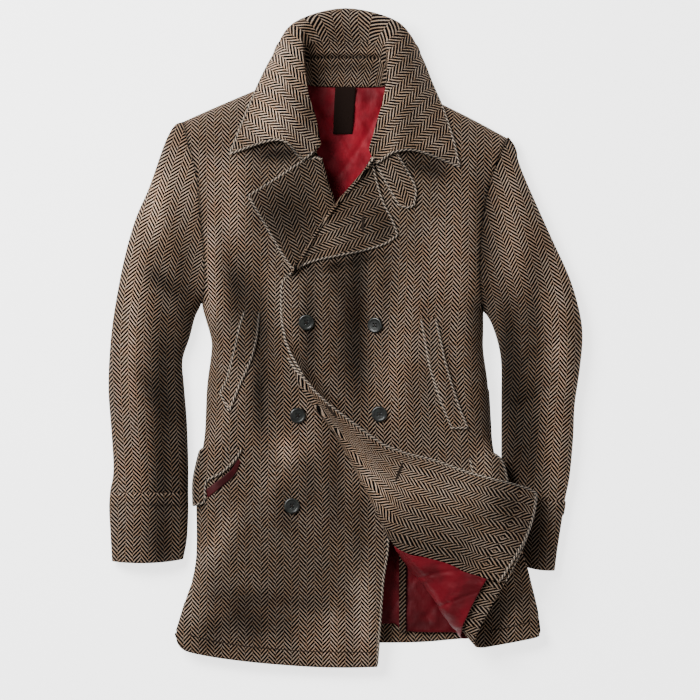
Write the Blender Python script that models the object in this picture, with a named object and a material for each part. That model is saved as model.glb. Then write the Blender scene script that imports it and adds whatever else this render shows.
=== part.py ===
# Double-breasted herringbone wool jacket with a turned-up collar, laid flat on its back.
# One lower corner of the front that lies on top is turned back over the side and sleeve.
#
# All tables are in millimetres: x from the centre line, y up from the lowest point of
# the hem, z up from the surface that the jacket lies on. "Left" and "right" are as seen
# from above. The origin is on that surface, under the middle of the jacket.

from math import pi

import bpy
import numpy as np
from mathutils import Vector
from mathutils.bvhtree import BVHTree

MM = 0.001
MIDDLE = -1.0, 462.1    # x and y of the middle of the jacket's outline

# ---- cloth and gaps ---------------------------------------------------------------

WOOL = 2.0              # thickness of the woollen cloth
DOUBLE_WOOL = 2.6       # collar, lapels and tab, two layers pressed together
LINING = 1.2            # lining satin with its thin padding
SEAM_GAP = 0.45         # between two pieces at a seam
LAY_GAP = 0.5           # between a piece and the one it lies on
TURNED_GAP = 2.8        # between the turned-back front and what lines it
SLEEVE_GAP = 1.1        # between an armhole and the top of its sleeve
BUTTON_GAP = 0.3

# ---- how high the jacket stands ---------------------------------------------------

SEAM_HEIGHT = 12.0      # side, shoulder and sleeve seams
SIDE_ROUND = 42.0       # how far in from a seam the cloth has risen to full height
UNDER_ROUND = 18.0      # the same for the underside
FRONT_LIFT = 1.1        # the fronts over the back at their seams
FRONT_STEP = 4.2        # the top front over the one below it
LAPEL_STEP = 4.0        # more where it also lies on the lower lapel
ROLL = 16.0             # radius at which the lower corner is turned back
REST_STEP = 10.0        # the turned-back corner over what it lies on
PANEL_SETBACK = 5.6     # how far a front stops short of the roll of its lapel

# Height of the body and of a sleeve at their middles: y, z.
CROWN = [(0, 21), (60, 26), (110, 30), (260, 38), (450, 44), (600, 47), (740, 42), (840, 36)]
SLEEVE_CROWN = [(130, 27), (260, 34), (450, 40), (600, 43), (770, 38)]

# Largest folds: from x, from y, to x, to y, half width, rise (minus is a trough).
FOLDS = [
    (-150, 640, -95, 500, 30, -6),
    (-118, 560, -160, 430, 28, -4),
    (-70, 520, -85, 330, 30, 3),
    (5, 470, -15, 300, 30, -4),
    (60, 600, 72, 340, 30, 3),
    (110, 560, 95, 430, 28, -4),
    (150, 620, 178, 470, 24, 3),
    (-30, 230, -20, 60, 32, 3),
    (-120, 260, -150, 70, 30, -4),
    (-285, 560, -262, 350, 18, -4),
    (-300, 470, -285, 300, 16, 3),
    (268, 540, 250, 330, 18, -4),
    (296, 480, 290, 300, 16, 3),
]

# ---- outlines ---------------------------------------------------------------------

SHOULDER_LEFT = [(-68, 833), (-126, 809), (-180, 786), (-227, 765)]
SHOULDER_RIGHT = [(68, 823), (134, 790), (180, 767), (226, 742)]
SLEEVE_OUTER_LEFT = [(-227, 765), (-238, 761), (-247, 748), (-256, 727), (-275, 673),
                     (-295, 626), (-311, 568), (-324, 498), (-330, 445), (-332, 389),
                     (-328, 333), (-325, 277), (-330, 246)]
SLEEVE_INNER_LEFT = [(-201, 511), (-205, 503), (-211, 490), (-218, 463), (-228, 431),
                     (-226, 396), (-222, 347), (-220, 291), (-220, 246)]
SLEEVE_OUTER_RIGHT = [(226, 742), (236, 728), (247, 696), (267, 650), (290, 599),
                      (314, 546), (328, 498), (332, 462), (328, 417), (321, 368),
                      (319, 323), (314, 269), (307, 234)]
SLEEVE_INNER_RIGHT = [(193, 499), (199, 492), (206, 478), (214, 452), (218, 424),
                      (218, 375), (218, 300), (219, 234)]
CUFF_OUTER_LEFT = [(-330, 245), (-331, 222), (-329, 185), (-327, 150)]
CUFF_INNER_LEFT = [(-220, 245), (-220, 215), (-222, 180), (-227, 153)]
CUFF_OUTER_RIGHT = [(307, 233), (302, 200), (297, 168), (293, 137)]
CUFF_INNER_RIGHT = [(219, 233), (221, 200), (225, 170), (232, 150)]
ARMHOLE_LEFT = [(-227, 765), (-218, 727), (-208, 689), (-203, 630), (-198, 582),
                (-197, 545), (-201, 511)]
ARMHOLE_RIGHT = [(226, 742), (211, 707), (199, 669), (191, 619), (188, 570),
                 (189, 530), (193, 499)]
SIDE_LEFT = [(-201, 511), (-199, 500), (-195, 486), (-188, 460), (-188, 440),
             (-194, 393), (-197, 329), (-203, 290), (-207, 240), (-208, 150),
             (-224, 95), (-237, 52)]
SIDE_RIGHT = [(193, 499), (193, 473), (193, 444), (199, 400), (202, 353), (204, 316),
              (210, 290), (222, 240), (238, 190), (252, 146), (258, 122), (267, 84),
              (271, 55)]
NECK_UNDER = [(-68, 833), (-71, 802), (-63, 770), (-53, 742), (-46, 722)]
LAPEL_ROLL_UNDER = [(-41, 722), (-36, 705), (-29, 676), (-24, 648), (-18, 606),
                    (-12, 557), (-5, 515)]
FRONT_EDGE_UNDER = [(-5, 515), (9, 473), (27, 417), (43, 347), (54, 263), (60, 179),
                    (53, 123), (49, 69), (44, 2)]
HEM_UNDER = [(-237, 52), (-236, 38), (-229, 28), (-216, 22), (-180, 15), (-134, 9),
             (-90, 5), (-45, 2), (0, 1), (44, 2)]
NECK_OVER = [(68, 823), (70, 795), (63, 767), (55, 742), (45, 722)]
LAPEL_ROLL_OVER = [(40, 722), (27, 700), (6, 675), (-12, 654), (-29, 631), (-44, 608),
                   (-63, 573), (-80, 550)]
FRONT_EDGE_OVER = [(-80, 550), (-88, 540), (-90, 524), (-90, 498), (-87, 462),
                   (-85, 403), (-83, 291), (-80, 151), (-76, 29)]
HEM_OVER = [(271, 55), (271, 49), (265, 43), (211, 32), (178, 28), (90, 25), (0, 26),
            (-76, 29)]
NECK_BACK_LEFT = [(-68, 833), (-48, 820), (-24, 813), (-1, 812)]
NECK_BACK_RIGHT = [(68, 823), (50, 815), (24, 812), (0, 812)]
CENTRE_SEAM = [(0, 812), (2, 600), (8, 300), (14, 36)]
HEM_BACK_LEFT = [(-237, 52), (-228, 40), (-134, 34), (-40, 34), (14, 36)]
HEM_BACK_RIGHT = [(271, 55), (262, 47), (164, 42), (102, 37), (14, 36)]

# The corner turned back: where the fold shows, and where the front edge then lies.
FOLD_LINE = [(-128, 520), (-86, 452), (-58, 406), (-29, 356), (6, 291), (37, 230),
             (54, 193), (66, 174), (92, 137), (120, 101), (135, 77), (155, 52),
             (178, 25), (196, 0)]
# Height of a point on the flat front edge, and its place once turned back.
TURNED_EDGE = [(462, -85, 462), (440, -77, 441), (400, -58, 406), (378, -45, 389),
               (351, -26, 370), (323, -3, 353), (283, 29, 329), (253, 54, 312),
               (218, 86, 300), (176, 127, 290), (126, 174, 273), (88, 211, 263),
               (43, 254, 251), (28, 268, 244)]
HEM_BELLY = 11.0        # how far the turned-back hem curves out of a straight line
FACING_EDGE = 64.0      # inner edge of the front facing
TURNED_CLOTH = 2 * WOOL + TURNED_GAP    # front and facing, which show outside the fold

# ---- small helpers ----------------------------------------------------------------


def curve(points, steps=6):
    """Points on a smooth curve through the given ones."""
    p = np.array(points, float)
    ends = np.vstack([2 * p[0] - p[1], p, 2 * p[-1] - p[-2]])
    out = []
    for i in range(1, len(ends) - 2):
        a, b, c, d = ends[i - 1:i + 3]
        for t in np.arange(steps) / steps:
            out.append(b + 0.5 * t * (c - a + t * (2 * a - 5 * b + 4 * c - d
                                                   + t * (3 * (b - c) + d - a))))
    return np.array(out + [p[-1]])


def along(line, fractions):
    """Points at fractions of a line's length."""
    length = np.r_[0, np.cumsum(np.linalg.norm(np.diff(line, axis=0), axis=1))]
    where = np.asarray(fractions) * length[-1]
    return np.stack([np.interp(where, length, line[:, k]) for k in range(line.shape[1])], -1)


def distance(lines, x, y):
    """Distance from points to the nearest of some lines."""
    best = np.full(np.shape(x), 1e9)
    for line in lines:
        for (ax, ay), (bx, by) in zip(line[:-1], line[1:]):
            dx, dy = bx - ax, by - ay
            t = np.clip(((x - ax) * dx + (y - ay) * dy) / (dx * dx + dy * dy), 0, 1)
            best = np.minimum(best, np.hypot(x - ax - t * dx, y - ay - t * dy))
    return best


def smooth(x, low, high):
    t = np.clip((x - low) / (high - low), 0, 1)
    return t * t * (3 - 2 * t)


def rounded(gap, reach):
    """0 at an edge, 1 beyond its reach, with a quarter circle between."""
    return np.sqrt(1 - (1 - np.clip(gap / reach, 0, 1)) ** 2)


def table(rows, value):
    rows = np.array(rows, float)
    return np.interp(value, rows[:, 0], rows[:, 1])


def x_at(line, y):
    """x of a line that runs down the jacket, at heights y."""
    order = np.argsort(line[:, 1])
    return np.interp(y, line[order, 1], line[order, 0])


def spaced(count, power=1.0):
    return np.linspace(0, 1, count) ** power


def patch(left, right, top, bottom, rows, columns):
    """A grid of plan points between four lines: rows run from left to right."""
    v = np.asarray(rows)[:, None, None]
    u = np.broadcast_to(columns, (len(rows), np.shape(columns)[-1]))
    a, b = along(left, rows)[:, None], along(right, rows)[:, None]
    c, d = along(top, u), along(bottom, u)
    u = u[..., None]
    corners = ((1 - u) * (1 - v) * a[:1] + u * (1 - v) * b[:1]
               + (1 - u) * v * a[-1:] + u * v * b[-1:])
    grid = (1 - u) * a + u * b + (1 - v) * c + v * d - corners
    return grid[..., 0], grid[..., 1]


# ---- smooth outlines --------------------------------------------------------------

TOP_OF_SIDES = 430.0    # body and sleeve share their rounding above this height


def upper(line):
    return line[line[:, 1] > TOP_OF_SIDES]


shoulder = {"left": curve(SHOULDER_LEFT), "right": curve(SHOULDER_RIGHT)}
outer = {"left": curve(SLEEVE_OUTER_LEFT + CUFF_OUTER_LEFT[1:]),
         "right": curve(SLEEVE_OUTER_RIGHT + CUFF_OUTER_RIGHT[1:])}
inner = {"left": curve(SLEEVE_INNER_LEFT + CUFF_INNER_LEFT[1:]),
         "right": curve(SLEEVE_INNER_RIGHT + CUFF_INNER_RIGHT[1:])}
side = {"left": curve(SIDE_LEFT), "right": curve(SIDE_RIGHT)}
armhole = {"left": curve(ARMHOLE_LEFT), "right": curve(ARMHOLE_RIGHT)}
fold_line = curve(FOLD_LINE)

body_edges = [part for s in ("left", "right")
              for part in (shoulder[s], side[s], upper(outer[s]), upper(inner[s]))]
sleeve_edges = {s: [shoulder[s], outer[s], inner[s], upper(side[s])] for s in ("left", "right")}

# ---- heights ----------------------------------------------------------------------

SLEEVE_UNDER_BODY = 330.0, 285.0    # the right side climbs onto the sleeve below this
BODY_OFF_SLEEVE = 150.0, 92.0       # and comes down again past the cuff
CLIMB = 50.0, 8.0                   # plan width of the climb, before and past the sleeve
CLIMB_HEIGHT = 39.0
CLIMB_THINS = 0.8                   # part of its thickness that the body loses up there
CROWNS_MEET = 165.0, 235.0          # across the shoulder, body's height passes into sleeve's
SLEEVE_JOINS = 380.0, 470.0         # and up the sleeve
FOLD_ENDS = 0.25, 0.3               # a fold fades in from this before its end to this past it
OVERLAP_ENDS = 70.0, 150.0          # the top front comes down onto the body between these x
LAPEL_BELOW = (10.0, 70.0), (470.0, 510.0), (690.0, 750.0)     # the same off the lower lapel


def folds(x, y):
    rise = np.zeros(np.shape(x))
    for ax, ay, bx, by, width, height in FOLDS:
        dx, dy = bx - ax, by - ay
        length = np.hypot(dx, dy)
        t = ((x - ax) * dx + (y - ay) * dy) / length ** 2
        off = ((x - ax) * dy - (y - ay) * dx) / length
        fade = smooth(t, -FOLD_ENDS[0], FOLD_ENDS[1]) * smooth(1 - t, -FOLD_ENDS[0], FOLD_ENDS[1])
        rise = rise + height * fade * np.exp(-(off / width) ** 2)
    return rise


def full_height(x, y):
    body = table(CROWN, y)
    sleeve = table(SLEEVE_CROWN, y)
    share = smooth(np.abs(x), *CROWNS_MEET) * smooth(y, *SLEEVE_JOINS)
    return body + (sleeve - body) * share


def climb(x, y):
    """How far the body's right side is lifted by the sleeve that lies under it."""
    start = x_at(inner["right"], y)
    across = smooth(x, start - CLIMB[0], start + CLIMB[1])
    down = 1 - smooth(y, SLEEVE_UNDER_BODY[1], SLEEVE_UNDER_BODY[0])
    return across * down * smooth(y, BODY_OFF_SLEEVE[1], BODY_OFF_SLEEVE[0])


def body_top(x, y):
    edge = rounded(distance(body_edges, x, y), SIDE_ROUND)
    up = climb(x, y)
    thick = (full_height(x, y) - SEAM_HEIGHT) * (1 - CLIMB_THINS * up)
    return SEAM_HEIGHT + CLIMB_HEIGHT * up + (thick + folds(x, y) * (1 - up)) * edge


def body_under(x, y):
    edge = rounded(distance(body_edges, x, y), UNDER_ROUND)
    return SEAM_HEIGHT * (1 - edge) + CLIMB_HEIGHT * climb(x, y)


def sleeve_top(s, x, y):
    edge = rounded(distance(sleeve_edges[s], x, y), SIDE_ROUND)
    sleeve = table(SLEEVE_CROWN, y)
    height = sleeve + (full_height(x, y) - sleeve) * smooth(y, *SLEEVE_JOINS)
    return SEAM_HEIGHT + (height - SEAM_HEIGHT + folds(x, y)) * edge


def sleeve_under(s, x, y):
    return SEAM_HEIGHT * (1 - rounded(distance(sleeve_edges[s], x, y), UNDER_ROUND))


def front_step(x, y):
    """The top front over the lower one, more where the lower lapel lies between."""
    overlap = 1 - smooth(x, *OVERLAP_ENDS)
    across, start, end = LAPEL_BELOW
    lapel = smooth(y, *start) * (1 - smooth(y, *end)) * (1 - smooth(x, *across))
    return FRONT_STEP * overlap + LAPEL_STEP * lapel


# ---- surfaces, from plan or pattern points to the outer face of a piece -----------


def under_front(x, y):
    return np.stack([x, y, body_top(x, y) + FRONT_LIFT], -1)


def over_height(x, y):
    return body_top(x, y) + FRONT_LIFT + front_step(x, y)


GROUND_X, GROUND_Y = (-100.0, 360.0), (-20.0, 500.0)
GROUND_CELL = 8.0           # grid for the ground that the turned-back corner lies on
BRIDGED, SMOOTHED = 2, 10   # cells that the stiff cloth bridges, and rounds of smoothing


def make_ground():
    """Top of what lies below the turned-back corner, with its hollows bridged."""
    xs = np.arange(*GROUND_X, GROUND_CELL)
    ys = np.arange(*GROUND_Y, GROUND_CELL)
    x, y = np.meshgrid(xs, ys)
    on_body = np.where(x < x_at(side["right"], y), over_height(x, y), 0)
    in_sleeve = (x > x_at(inner["right"], y)) & (x < x_at(outer["right"], y))
    height = np.maximum(on_body, np.where(in_sleeve, sleeve_top("right", x, y), 0))
    for grow in [True] * BRIDGED + [False] * SMOOTHED:
        for axis in (0, 1):
            edge = np.pad(height, [(1, 1) if k == axis else (0, 0) for k in (0, 1)], "edge")
            before, after = np.delete(edge, [-1, -2], axis), np.delete(edge, [0, 1], axis)
            if grow:
                height = np.maximum(height, np.maximum(before, after))
            else:
                height = (before + 2 * height + after) / 4
    return height


def ground_at(x, y):
    column = np.clip((x - GROUND_X[0]) / GROUND_CELL, 0, ground_grid.shape[1] - 1.001)
    row = np.clip((y - GROUND_Y[0]) / GROUND_CELL, 0, ground_grid.shape[0] - 1.001)
    i, j = row.astype(int), column.astype(int)
    a, b = row - i, column - j
    low = ground_grid[i, j] * (1 - b) + ground_grid[i, j + 1] * b
    high = ground_grid[i + 1, j] * (1 - b) + ground_grid[i + 1, j + 1] * b
    return low * (1 - a) + high * a


SLOPE_SPAN = 14.0           # half of the length over which the fold's direction is taken
TURN_STARTS = 462.0         # y at which the front edge begins to turn
PULLED = 0.15, 1.0          # the cloth gives way to its edge's place over this part of a row
BELLY_ENDS = 28.0, 190.0    # y over which the hem's belly dies out up the front
BELLY_WAY = 0.9, -0.4       # direction in which it curves out, x and y
ONTO_GROUND = -20.0, 90.0   # distance past the fold over which the corner comes to rest
SETTLE = 70.0               # and over which its height from the roll dies away


def isometric_turn(x, y):
    """Place and lift of a pattern point, rolled over the fold line without stretch."""
    fold_x = x_at(fold_line, y)
    slope = (x_at(fold_line, y - SLOPE_SPAN) - x_at(fold_line, y + SLOPE_SPAN)) / (2 * SLOPE_SPAN)
    length = np.hypot(slope, 1)
    tx, ty = slope / length, -1 / length
    fold_x = fold_x + TURNED_CLOTH * length
    past = fold_x - x
    perpendicular, parallel = past / length, past * tx
    q = perpendicular + ROLL
    angle = np.clip(q / ROLL, 0, pi)
    flat = np.maximum(q - pi * ROLL, 0)
    lateral = np.where(q > 0, -ROLL + ROLL * np.sin(angle) - flat, perpendicular)
    px = fold_x - parallel * tx + lateral * ty
    py = y - parallel * ty - lateral * tx
    return px, py, ROLL * (1 - np.cos(angle)), flat


def over_front(x, y):
    """The top front: flat pattern points, with the lower corner turned back."""
    x, y = np.broadcast_arrays(np.asarray(x, float), np.asarray(y, float))
    px, py, lift, flat = isometric_turn(x, y)
    edges = np.array(TURNED_EDGE[::-1], float)
    edge_x = x_at(curve(FRONT_EDGE_OVER), y)
    ex, ey, _, _ = isometric_turn(edge_x, y)
    goal_x = np.interp(y, edges[:, 0], edges[:, 1])
    goal_y = np.interp(y, edges[:, 0], edges[:, 2])
    reach = np.maximum(x_at(fold_line, y) + ROLL - edge_x, 1)
    share = np.clip((x_at(fold_line, y) + ROLL - x) / reach, 0, 1)
    pull = smooth(share, *PULLED) * (y < TURN_STARTS)
    belly = HEM_BELLY * np.sin(pi * share) * (1 - smooth(y, *BELLY_ENDS))
    px = px + pull * (goal_x - ex) + belly * BELLY_WAY[0]
    py = py + pull * (goal_y - ey) + belly * BELLY_WAY[1]
    turned = smooth(flat, *ONTO_GROUND)
    ground = over_height(px, py) * (1 - turned) + ground_at(px, py) * turned
    settle = np.exp(-(flat / SETTLE) ** 2)
    lift = np.where(flat > 0, REST_STEP + (2 * ROLL - REST_STEP) * settle, lift)
    return np.stack([px, py, ground + lift], -1)


ground_grid = make_ground()


def back(x, y):
    return np.stack([x, y, body_under(x, y)], -1)


def moved_out(surface, x, y, amount):
    """Points of a surface, moved along its normal."""
    step = 0.5
    across = surface(x + step, y) - surface(x - step, y)
    up = surface(x, y + step) - surface(x, y - step)
    normal = np.cross(across, up)
    normal /= np.linalg.norm(normal, axis=-1, keepdims=True)
    return surface(x, y) + normal * np.asarray(amount)[..., None]


# ---- making objects ---------------------------------------------------------------

for old in list(bpy.data.objects):
    bpy.data.objects.remove(old)

FINISHES = {
    "tweed": ((0.165, 0.118, 0.088, 1), 0.92),
    "lining": ((0.36, 0.022, 0.03, 1), 0.35),
    "horn": ((0.018, 0.02, 0.02, 1), 0.22),
    "strip": ((0.03, 0.018, 0.015, 1), 0.7),
}
materials = {}
for finish, (colour, roughness) in FINISHES.items():
    made = bpy.data.materials.new(finish)
    made.use_nodes = True
    shader = made.node_tree.nodes["Principled BSDF"]
    shader.inputs["Base Color"].default_value = colour
    shader.inputs["Roughness"].default_value = roughness
    shader.inputs["Metallic"].default_value = 0.0
    materials[finish] = made

jacket = bpy.data.objects.new("jacket", None)
bpy.context.scene.collection.objects.link(jacket)


def add(name, points, faces, finish):
    mesh = bpy.data.meshes.new(name)
    flat = np.asarray(points, float).reshape(-1, 3) - (*MIDDLE, 0)
    mesh.from_pydata((flat * MM).tolist(), [], faces)
    mesh.materials.append(materials[finish])
    mesh.shade_smooth()
    piece = bpy.data.objects.new(name, mesh)
    bpy.context.scene.collection.objects.link(piece)
    piece.parent = jacket


def normals(grid, ring=False):
    """Unit normals of a grid, on the side where rows run down and columns to the right."""
    across = np.gradient(grid, axis=1)
    if ring:
        across = np.roll(grid, -1, 1) - np.roll(grid, 1, 1)
    normal = np.cross(np.gradient(grid, axis=0), across)
    return normal / np.linalg.norm(normal, axis=-1, keepdims=True)


def level_outward(grid):
    """Level unit vectors out of a grid across its side lines, and across its first row."""
    run, outward = np.gradient(grid, axis=0), np.gradient(grid, axis=1)
    outward[:, :grid.shape[1] // 2] *= -1
    run[0], outward[0] = outward[0], -run[0]
    level = np.stack([run[..., 1], -run[..., 0], 0 * run[..., 2]], -1)
    level *= np.sign((level * outward).sum(-1, keepdims=True))
    return level / np.linalg.norm(level, axis=-1, keepdims=True)


def wall(name, face, thickness, finish, side=1, ring=False, upright=None):
    """A wall of cloth behind a grid of points on its outer face.

    side is 1 where the outer face is the one from which rows run down and columns to the
    right, and -1 where it is the other. upright marks the points on a seam, where the
    wall stands on edge.
    """
    rows, columns = face.shape[:2]
    normal = normals(face, ring) * side
    if upright is not None:
        normal[upright] = level_outward(face)[upright]
    behind = face - normal * thickness
    index = np.arange(rows * columns).reshape(rows, columns)
    if ring:
        index = np.hstack([index, index[:, :1]])
        borders = [index[0], index[-1, ::-1]]
    else:
        borders = [np.r_[index[0], index[1:, -1], index[-1, -2::-1], index[-2::-1, 0]]]
    count = rows * columns
    faces = []
    for i in range(rows - 1):
        for j in range(index.shape[1] - 1):
            quad = [index[i, j], index[i + 1, j], index[i + 1, j + 1], index[i, j + 1]]
            faces += [quad, [count + corner for corner in quad[::-1]]]
    for line in borders:
        faces += [[a, b, count + b, count + a] for a, b in zip(line[:-1], line[1:])]
    if side < 0:
        faces = [corners[::-1] for corners in faces]
    add(name, np.concatenate([face, behind]), [[int(n) for n in f] for f in faces], finish)


ABOVE_ALL = 400.0
TAP = 5.0                   # heights are felt this far round a point
TAPS = [(TAP * i, TAP * j) for i in (-1, 0, 1) for j in (-1, 0, 1)]


def top_of(names, x, y, ceiling=ABOVE_ALL, taps=TAPS):
    """Height of the highest of some pieces around plan points, or 0 where there is none."""
    height = np.zeros(np.shape(x))
    ceiling = np.broadcast_to(ceiling, height.shape)
    for name in names:
        mesh = bpy.data.objects[name].data
        mesh.calc_loop_triangles()
        tree = BVHTree.FromPolygons([v.co / MM for v in mesh.vertices],
                                    [t.vertices for t in mesh.loop_triangles])
        for i in np.ndindex(height.shape):
            for dx, dy in taps:
                start = Vector((x[i] + dx - MIDDLE[0], y[i] + dy - MIDDLE[1], ceiling[i]))
                hit = tree.ray_cast(start, Vector((0, 0, -1)))[0]
                if hit:
                    height[i] = max(height[i], hit.z)
    return height


def laid_on(names, x, y, thickness, ceiling=ABOVE_ALL):
    """Outer face of a piece of cloth that lies on others, from plan points."""
    return np.stack([x, y, top_of(names, x, y, ceiling) + LAY_GAP + thickness], -1)


def joined(*lines):
    """One outline from several that meet end to end."""
    return np.vstack([curve(line) for line in lines])


ON_SEAM = 0.6               # points this close to a seam stand on it


def on_seam(x, y):
    return distance(body_edges, x, y) < ON_SEAM


# Rows of points that a front shares with the back at their side seam, and how much
# closer together they are near the shoulder.
UNDER_ROWS = 21, 1.45
OVER_ROWS = 26, 1.2


# ---- back, in two panels with a centre seam ---------------------------------------


def make_back():
    centre = curve(CENTRE_SEAM)
    half_gap = np.array([SEAM_GAP / 2, 0])
    rows, columns = spaced(*UNDER_ROWS), spaced(7, 1.7)
    x, y = patch(joined(ARMHOLE_LEFT, SIDE_LEFT), centre - half_gap,
                 joined(SHOULDER_LEFT[::-1], NECK_BACK_LEFT), curve(HEM_BACK_LEFT),
                 rows, columns)
    wall("back_left", back(x, y), WOOL, "tweed", -1, upright=on_seam(x, y))
    rows, columns = spaced(*OVER_ROWS), spaced(8, 1.8)
    x, y = patch(joined(ARMHOLE_RIGHT, SIDE_RIGHT), centre + half_gap,
                 joined(SHOULDER_RIGHT[::-1], NECK_BACK_RIGHT), curve(HEM_BACK_RIGHT),
                 rows, columns)
    wall("back_right", back(x, y), WOOL, "tweed", 1, upright=on_seam(x, y))


make_back()


# ---- inside of the back: lining, edge of the vent, strip at the neck --------------

LINING_LEFT = [(-58, 806), (-112, 760), (-158, 600), (-165, 400), (-170, 200), (-175, 63)]
LINING_RIGHT = [(58, 804), (110, 748), (150, 600), (160, 400), (162, 200), (176, 50)]
LINING_HEM = [(-175, 63), (40, 63), (70, 62), (86, 52), (176, 50)]
VENT_EDGE = [(76, 250), (76, 53)], [(84, 250), (84, 50)]
NECK_STRIP = [(-12, 803), (-16, 746)], [(15, 803), (8, 746)]


def make_back_lining():
    x, y = patch(curve(LINING_LEFT), curve(LINING_RIGHT),
                 np.array([LINING_LEFT[0], LINING_RIGHT[0]], float), curve(LINING_HEM),
                 spaced(12), spaced(8))
    panels = ["back_left", "back_right"]
    wall("back_lining", laid_on(panels, x, y, LINING), LINING, "lining")
    for name, lines, rows, thickness, finish in (
            ("vent_edge", VENT_EDGE, 8, WOOL, "tweed"),
            ("neck_strip", NECK_STRIP, 4, LINING, "strip")):
        left, right = (np.array(line, float) for line in lines)
        x, y = patch(left, right, np.array([left[0], right[0]]),
                     np.array([left[-1], right[-1]]), spaced(rows), spaced(3))
        face = laid_on(["back_lining"], x, y, thickness)
        face[..., 2] = np.maximum.accumulate(face[..., 2])
        wall(name, face, thickness, finish)


make_back_lining()


# ---- lapels and fronts ------------------------------------------------------------

# Lapel outlines: top edge from the roll to the notch, edge to the tip, lower edge.
LAPEL_TOP_UNDER = [(-57, 712), (-43, 714)]
LAPEL_SIDE_UNDER = [(-57, 712), (-96, 686), (-136, 661)]
LAPEL_LOW_UNDER = [(-136, 661), (-108, 613), (-79, 566), (-43, 534), (-14, 522)]
LAPEL_TOP_OVER = [(31, 703), (38, 704)]
LAPEL_SIDE_OVER = [(38, 704), (47, 669), (55, 647), (66, 626), (73, 606)]
LAPEL_LOW_OVER = [(-80, 550), (-64, 562), (-41, 571), (-8, 578), (23, 584), (55, 594), (73, 606)]
HOOK_ANGLES = 90, 50, 10, -35, -78      # degrees, from the top of the roll to its end below
ROLL_FADE = 13.0                        # plan width over which a lapel sinks from its roll
ROLL_PART = 0.045, 0.95                 # a lapel takes up this part of its roll
UNDER_RADIUS, OVER_RADIUS = 3.4, 4.2    # of the lapels' rolls


def to_the_right(line):
    """Unit vectors across a line that runs down, towards the right."""
    run = np.gradient(line, axis=0)
    run /= np.linalg.norm(run, axis=-1, keepdims=True)
    return np.stack([-run[:, 1], run[:, 0]], -1)


def make_lapel(name, carrier, roll, side_edge, top, low, radius, opens):
    """A lapel that rolls out of its front and lies on it; opens is 1 towards the right."""
    rows = spaced(11)
    contour = along(roll, ROLL_PART[0] + rows * (ROLL_PART[1] - ROLL_PART[0]))
    inward = to_the_right(contour) * opens
    start = contour + inward * radius
    left, right = (start, side_edge) if opens > 0 else (side_edge, start)
    x, y = patch(left, right, top, low, rows, spaced(6))
    if opens < 0:
        x, y = x[:, ::-1], y[:, ::-1]
    height = top_of(carrier, x, y)
    height = np.where(height > 0, height, height.max())
    gap = distance([start], x, y)
    rise = 2 * radius - WOOL
    lying = LAY_GAP + DOUBLE_WOOL
    z = height + lying + (rise - lying) * np.exp(-(gap / ROLL_FADE) ** 2)
    hook = []
    for angle in np.radians(HOOK_ANGLES[:0:-1]):
        plan = contour + inward * radius * (1 - np.cos(angle))
        level = z[:, :1] - radius + radius * np.sin(angle)
        hook.append(np.hstack([plan, level])[:, None])
    face = np.hstack(hook + [np.stack([x, y, z], -1)])
    wall(name, face, DOUBLE_WOOL, "tweed", opens)


def make_front_under():
    roll = curve(LAPEL_ROLL_UNDER)
    roll -= to_the_right(roll) * PANEL_SETBACK
    edge = np.vstack([curve(NECK_UNDER), roll, curve(FRONT_EDGE_UNDER)])
    x, y = patch(joined(ARMHOLE_LEFT, SIDE_LEFT), edge, curve(SHOULDER_LEFT[::-1]),
                 curve(HEM_UNDER), spaced(*UNDER_ROWS), spaced(11, 1.5))
    wall("front_under", under_front(x, y), WOOL, "tweed", upright=on_seam(x, y))
    make_lapel("lapel_under", ["front_under"], curve(LAPEL_ROLL_UNDER), curve(LAPEL_SIDE_UNDER),
               curve(LAPEL_TOP_UNDER), curve(LAPEL_LOW_UNDER), UNDER_RADIUS, -1)


make_front_under()


# The top front has its columns close together where it rolls over: plan width of that
# zone to the left and right of the fold, and the cells before, in and after it. The
# zone's ends keep within these parts of a row.
ROLL_ZONE = -52.0, 30.0
OVER_CELLS = 5, 8, 6
ZONE_START, ZONE_END, ZONE_LEAST = (0.12, 0.62), 0.86, 0.16
ZONE_DROP = 0.3             # a row sinks by this part of its slope on its way to the fold
LAST_CELLS = 1.6            # how much closer the cells are towards the side seam


def over_columns(left, right):
    out = []
    for (lx, ly), (rx, ry) in zip(left, right):
        fold = x_at(fold_line, ly + ZONE_DROP * (ry - ly))
        first = np.clip((fold + ROLL_ZONE[0] - lx) / (rx - lx), *ZONE_START)
        second = np.clip((fold + ROLL_ZONE[1] - lx) / (rx - lx), first + ZONE_LEAST, ZONE_END)
        rest = 1 - (1 - spaced(OVER_CELLS[2] + 1)) ** LAST_CELLS
        out.append(np.r_[first * spaced(OVER_CELLS[0] + 1)[:-1],
                         first + (second - first) * spaced(OVER_CELLS[1] + 1)[:-1],
                         second + (1 - second) * rest])
    return np.array(out)


def make_front_over():
    roll = curve(LAPEL_ROLL_OVER)
    roll += to_the_right(roll) * PANEL_SETBACK
    left = np.vstack([curve(NECK_OVER), roll, curve(FRONT_EDGE_OVER)])
    right = joined(ARMHOLE_RIGHT, SIDE_RIGHT)
    rows = spaced(*OVER_ROWS)
    columns = over_columns(along(left, rows), along(right, rows))
    x, y = patch(left, right, curve(SHOULDER_RIGHT), curve(HEM_OVER[::-1]), rows, columns)
    wall("front_over", over_front(x, y), WOOL, "tweed", upright=on_seam(x, y))
    make_lapel("lapel_over", ["front_over"], curve(LAPEL_ROLL_OVER), curve(LAPEL_SIDE_OVER),
               curve(LAPEL_TOP_OVER), curve(LAPEL_LOW_OVER), OVER_RADIUS, 1)


make_front_over()


# ---- facing and lining of the corner that is turned back --------------------------

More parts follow.
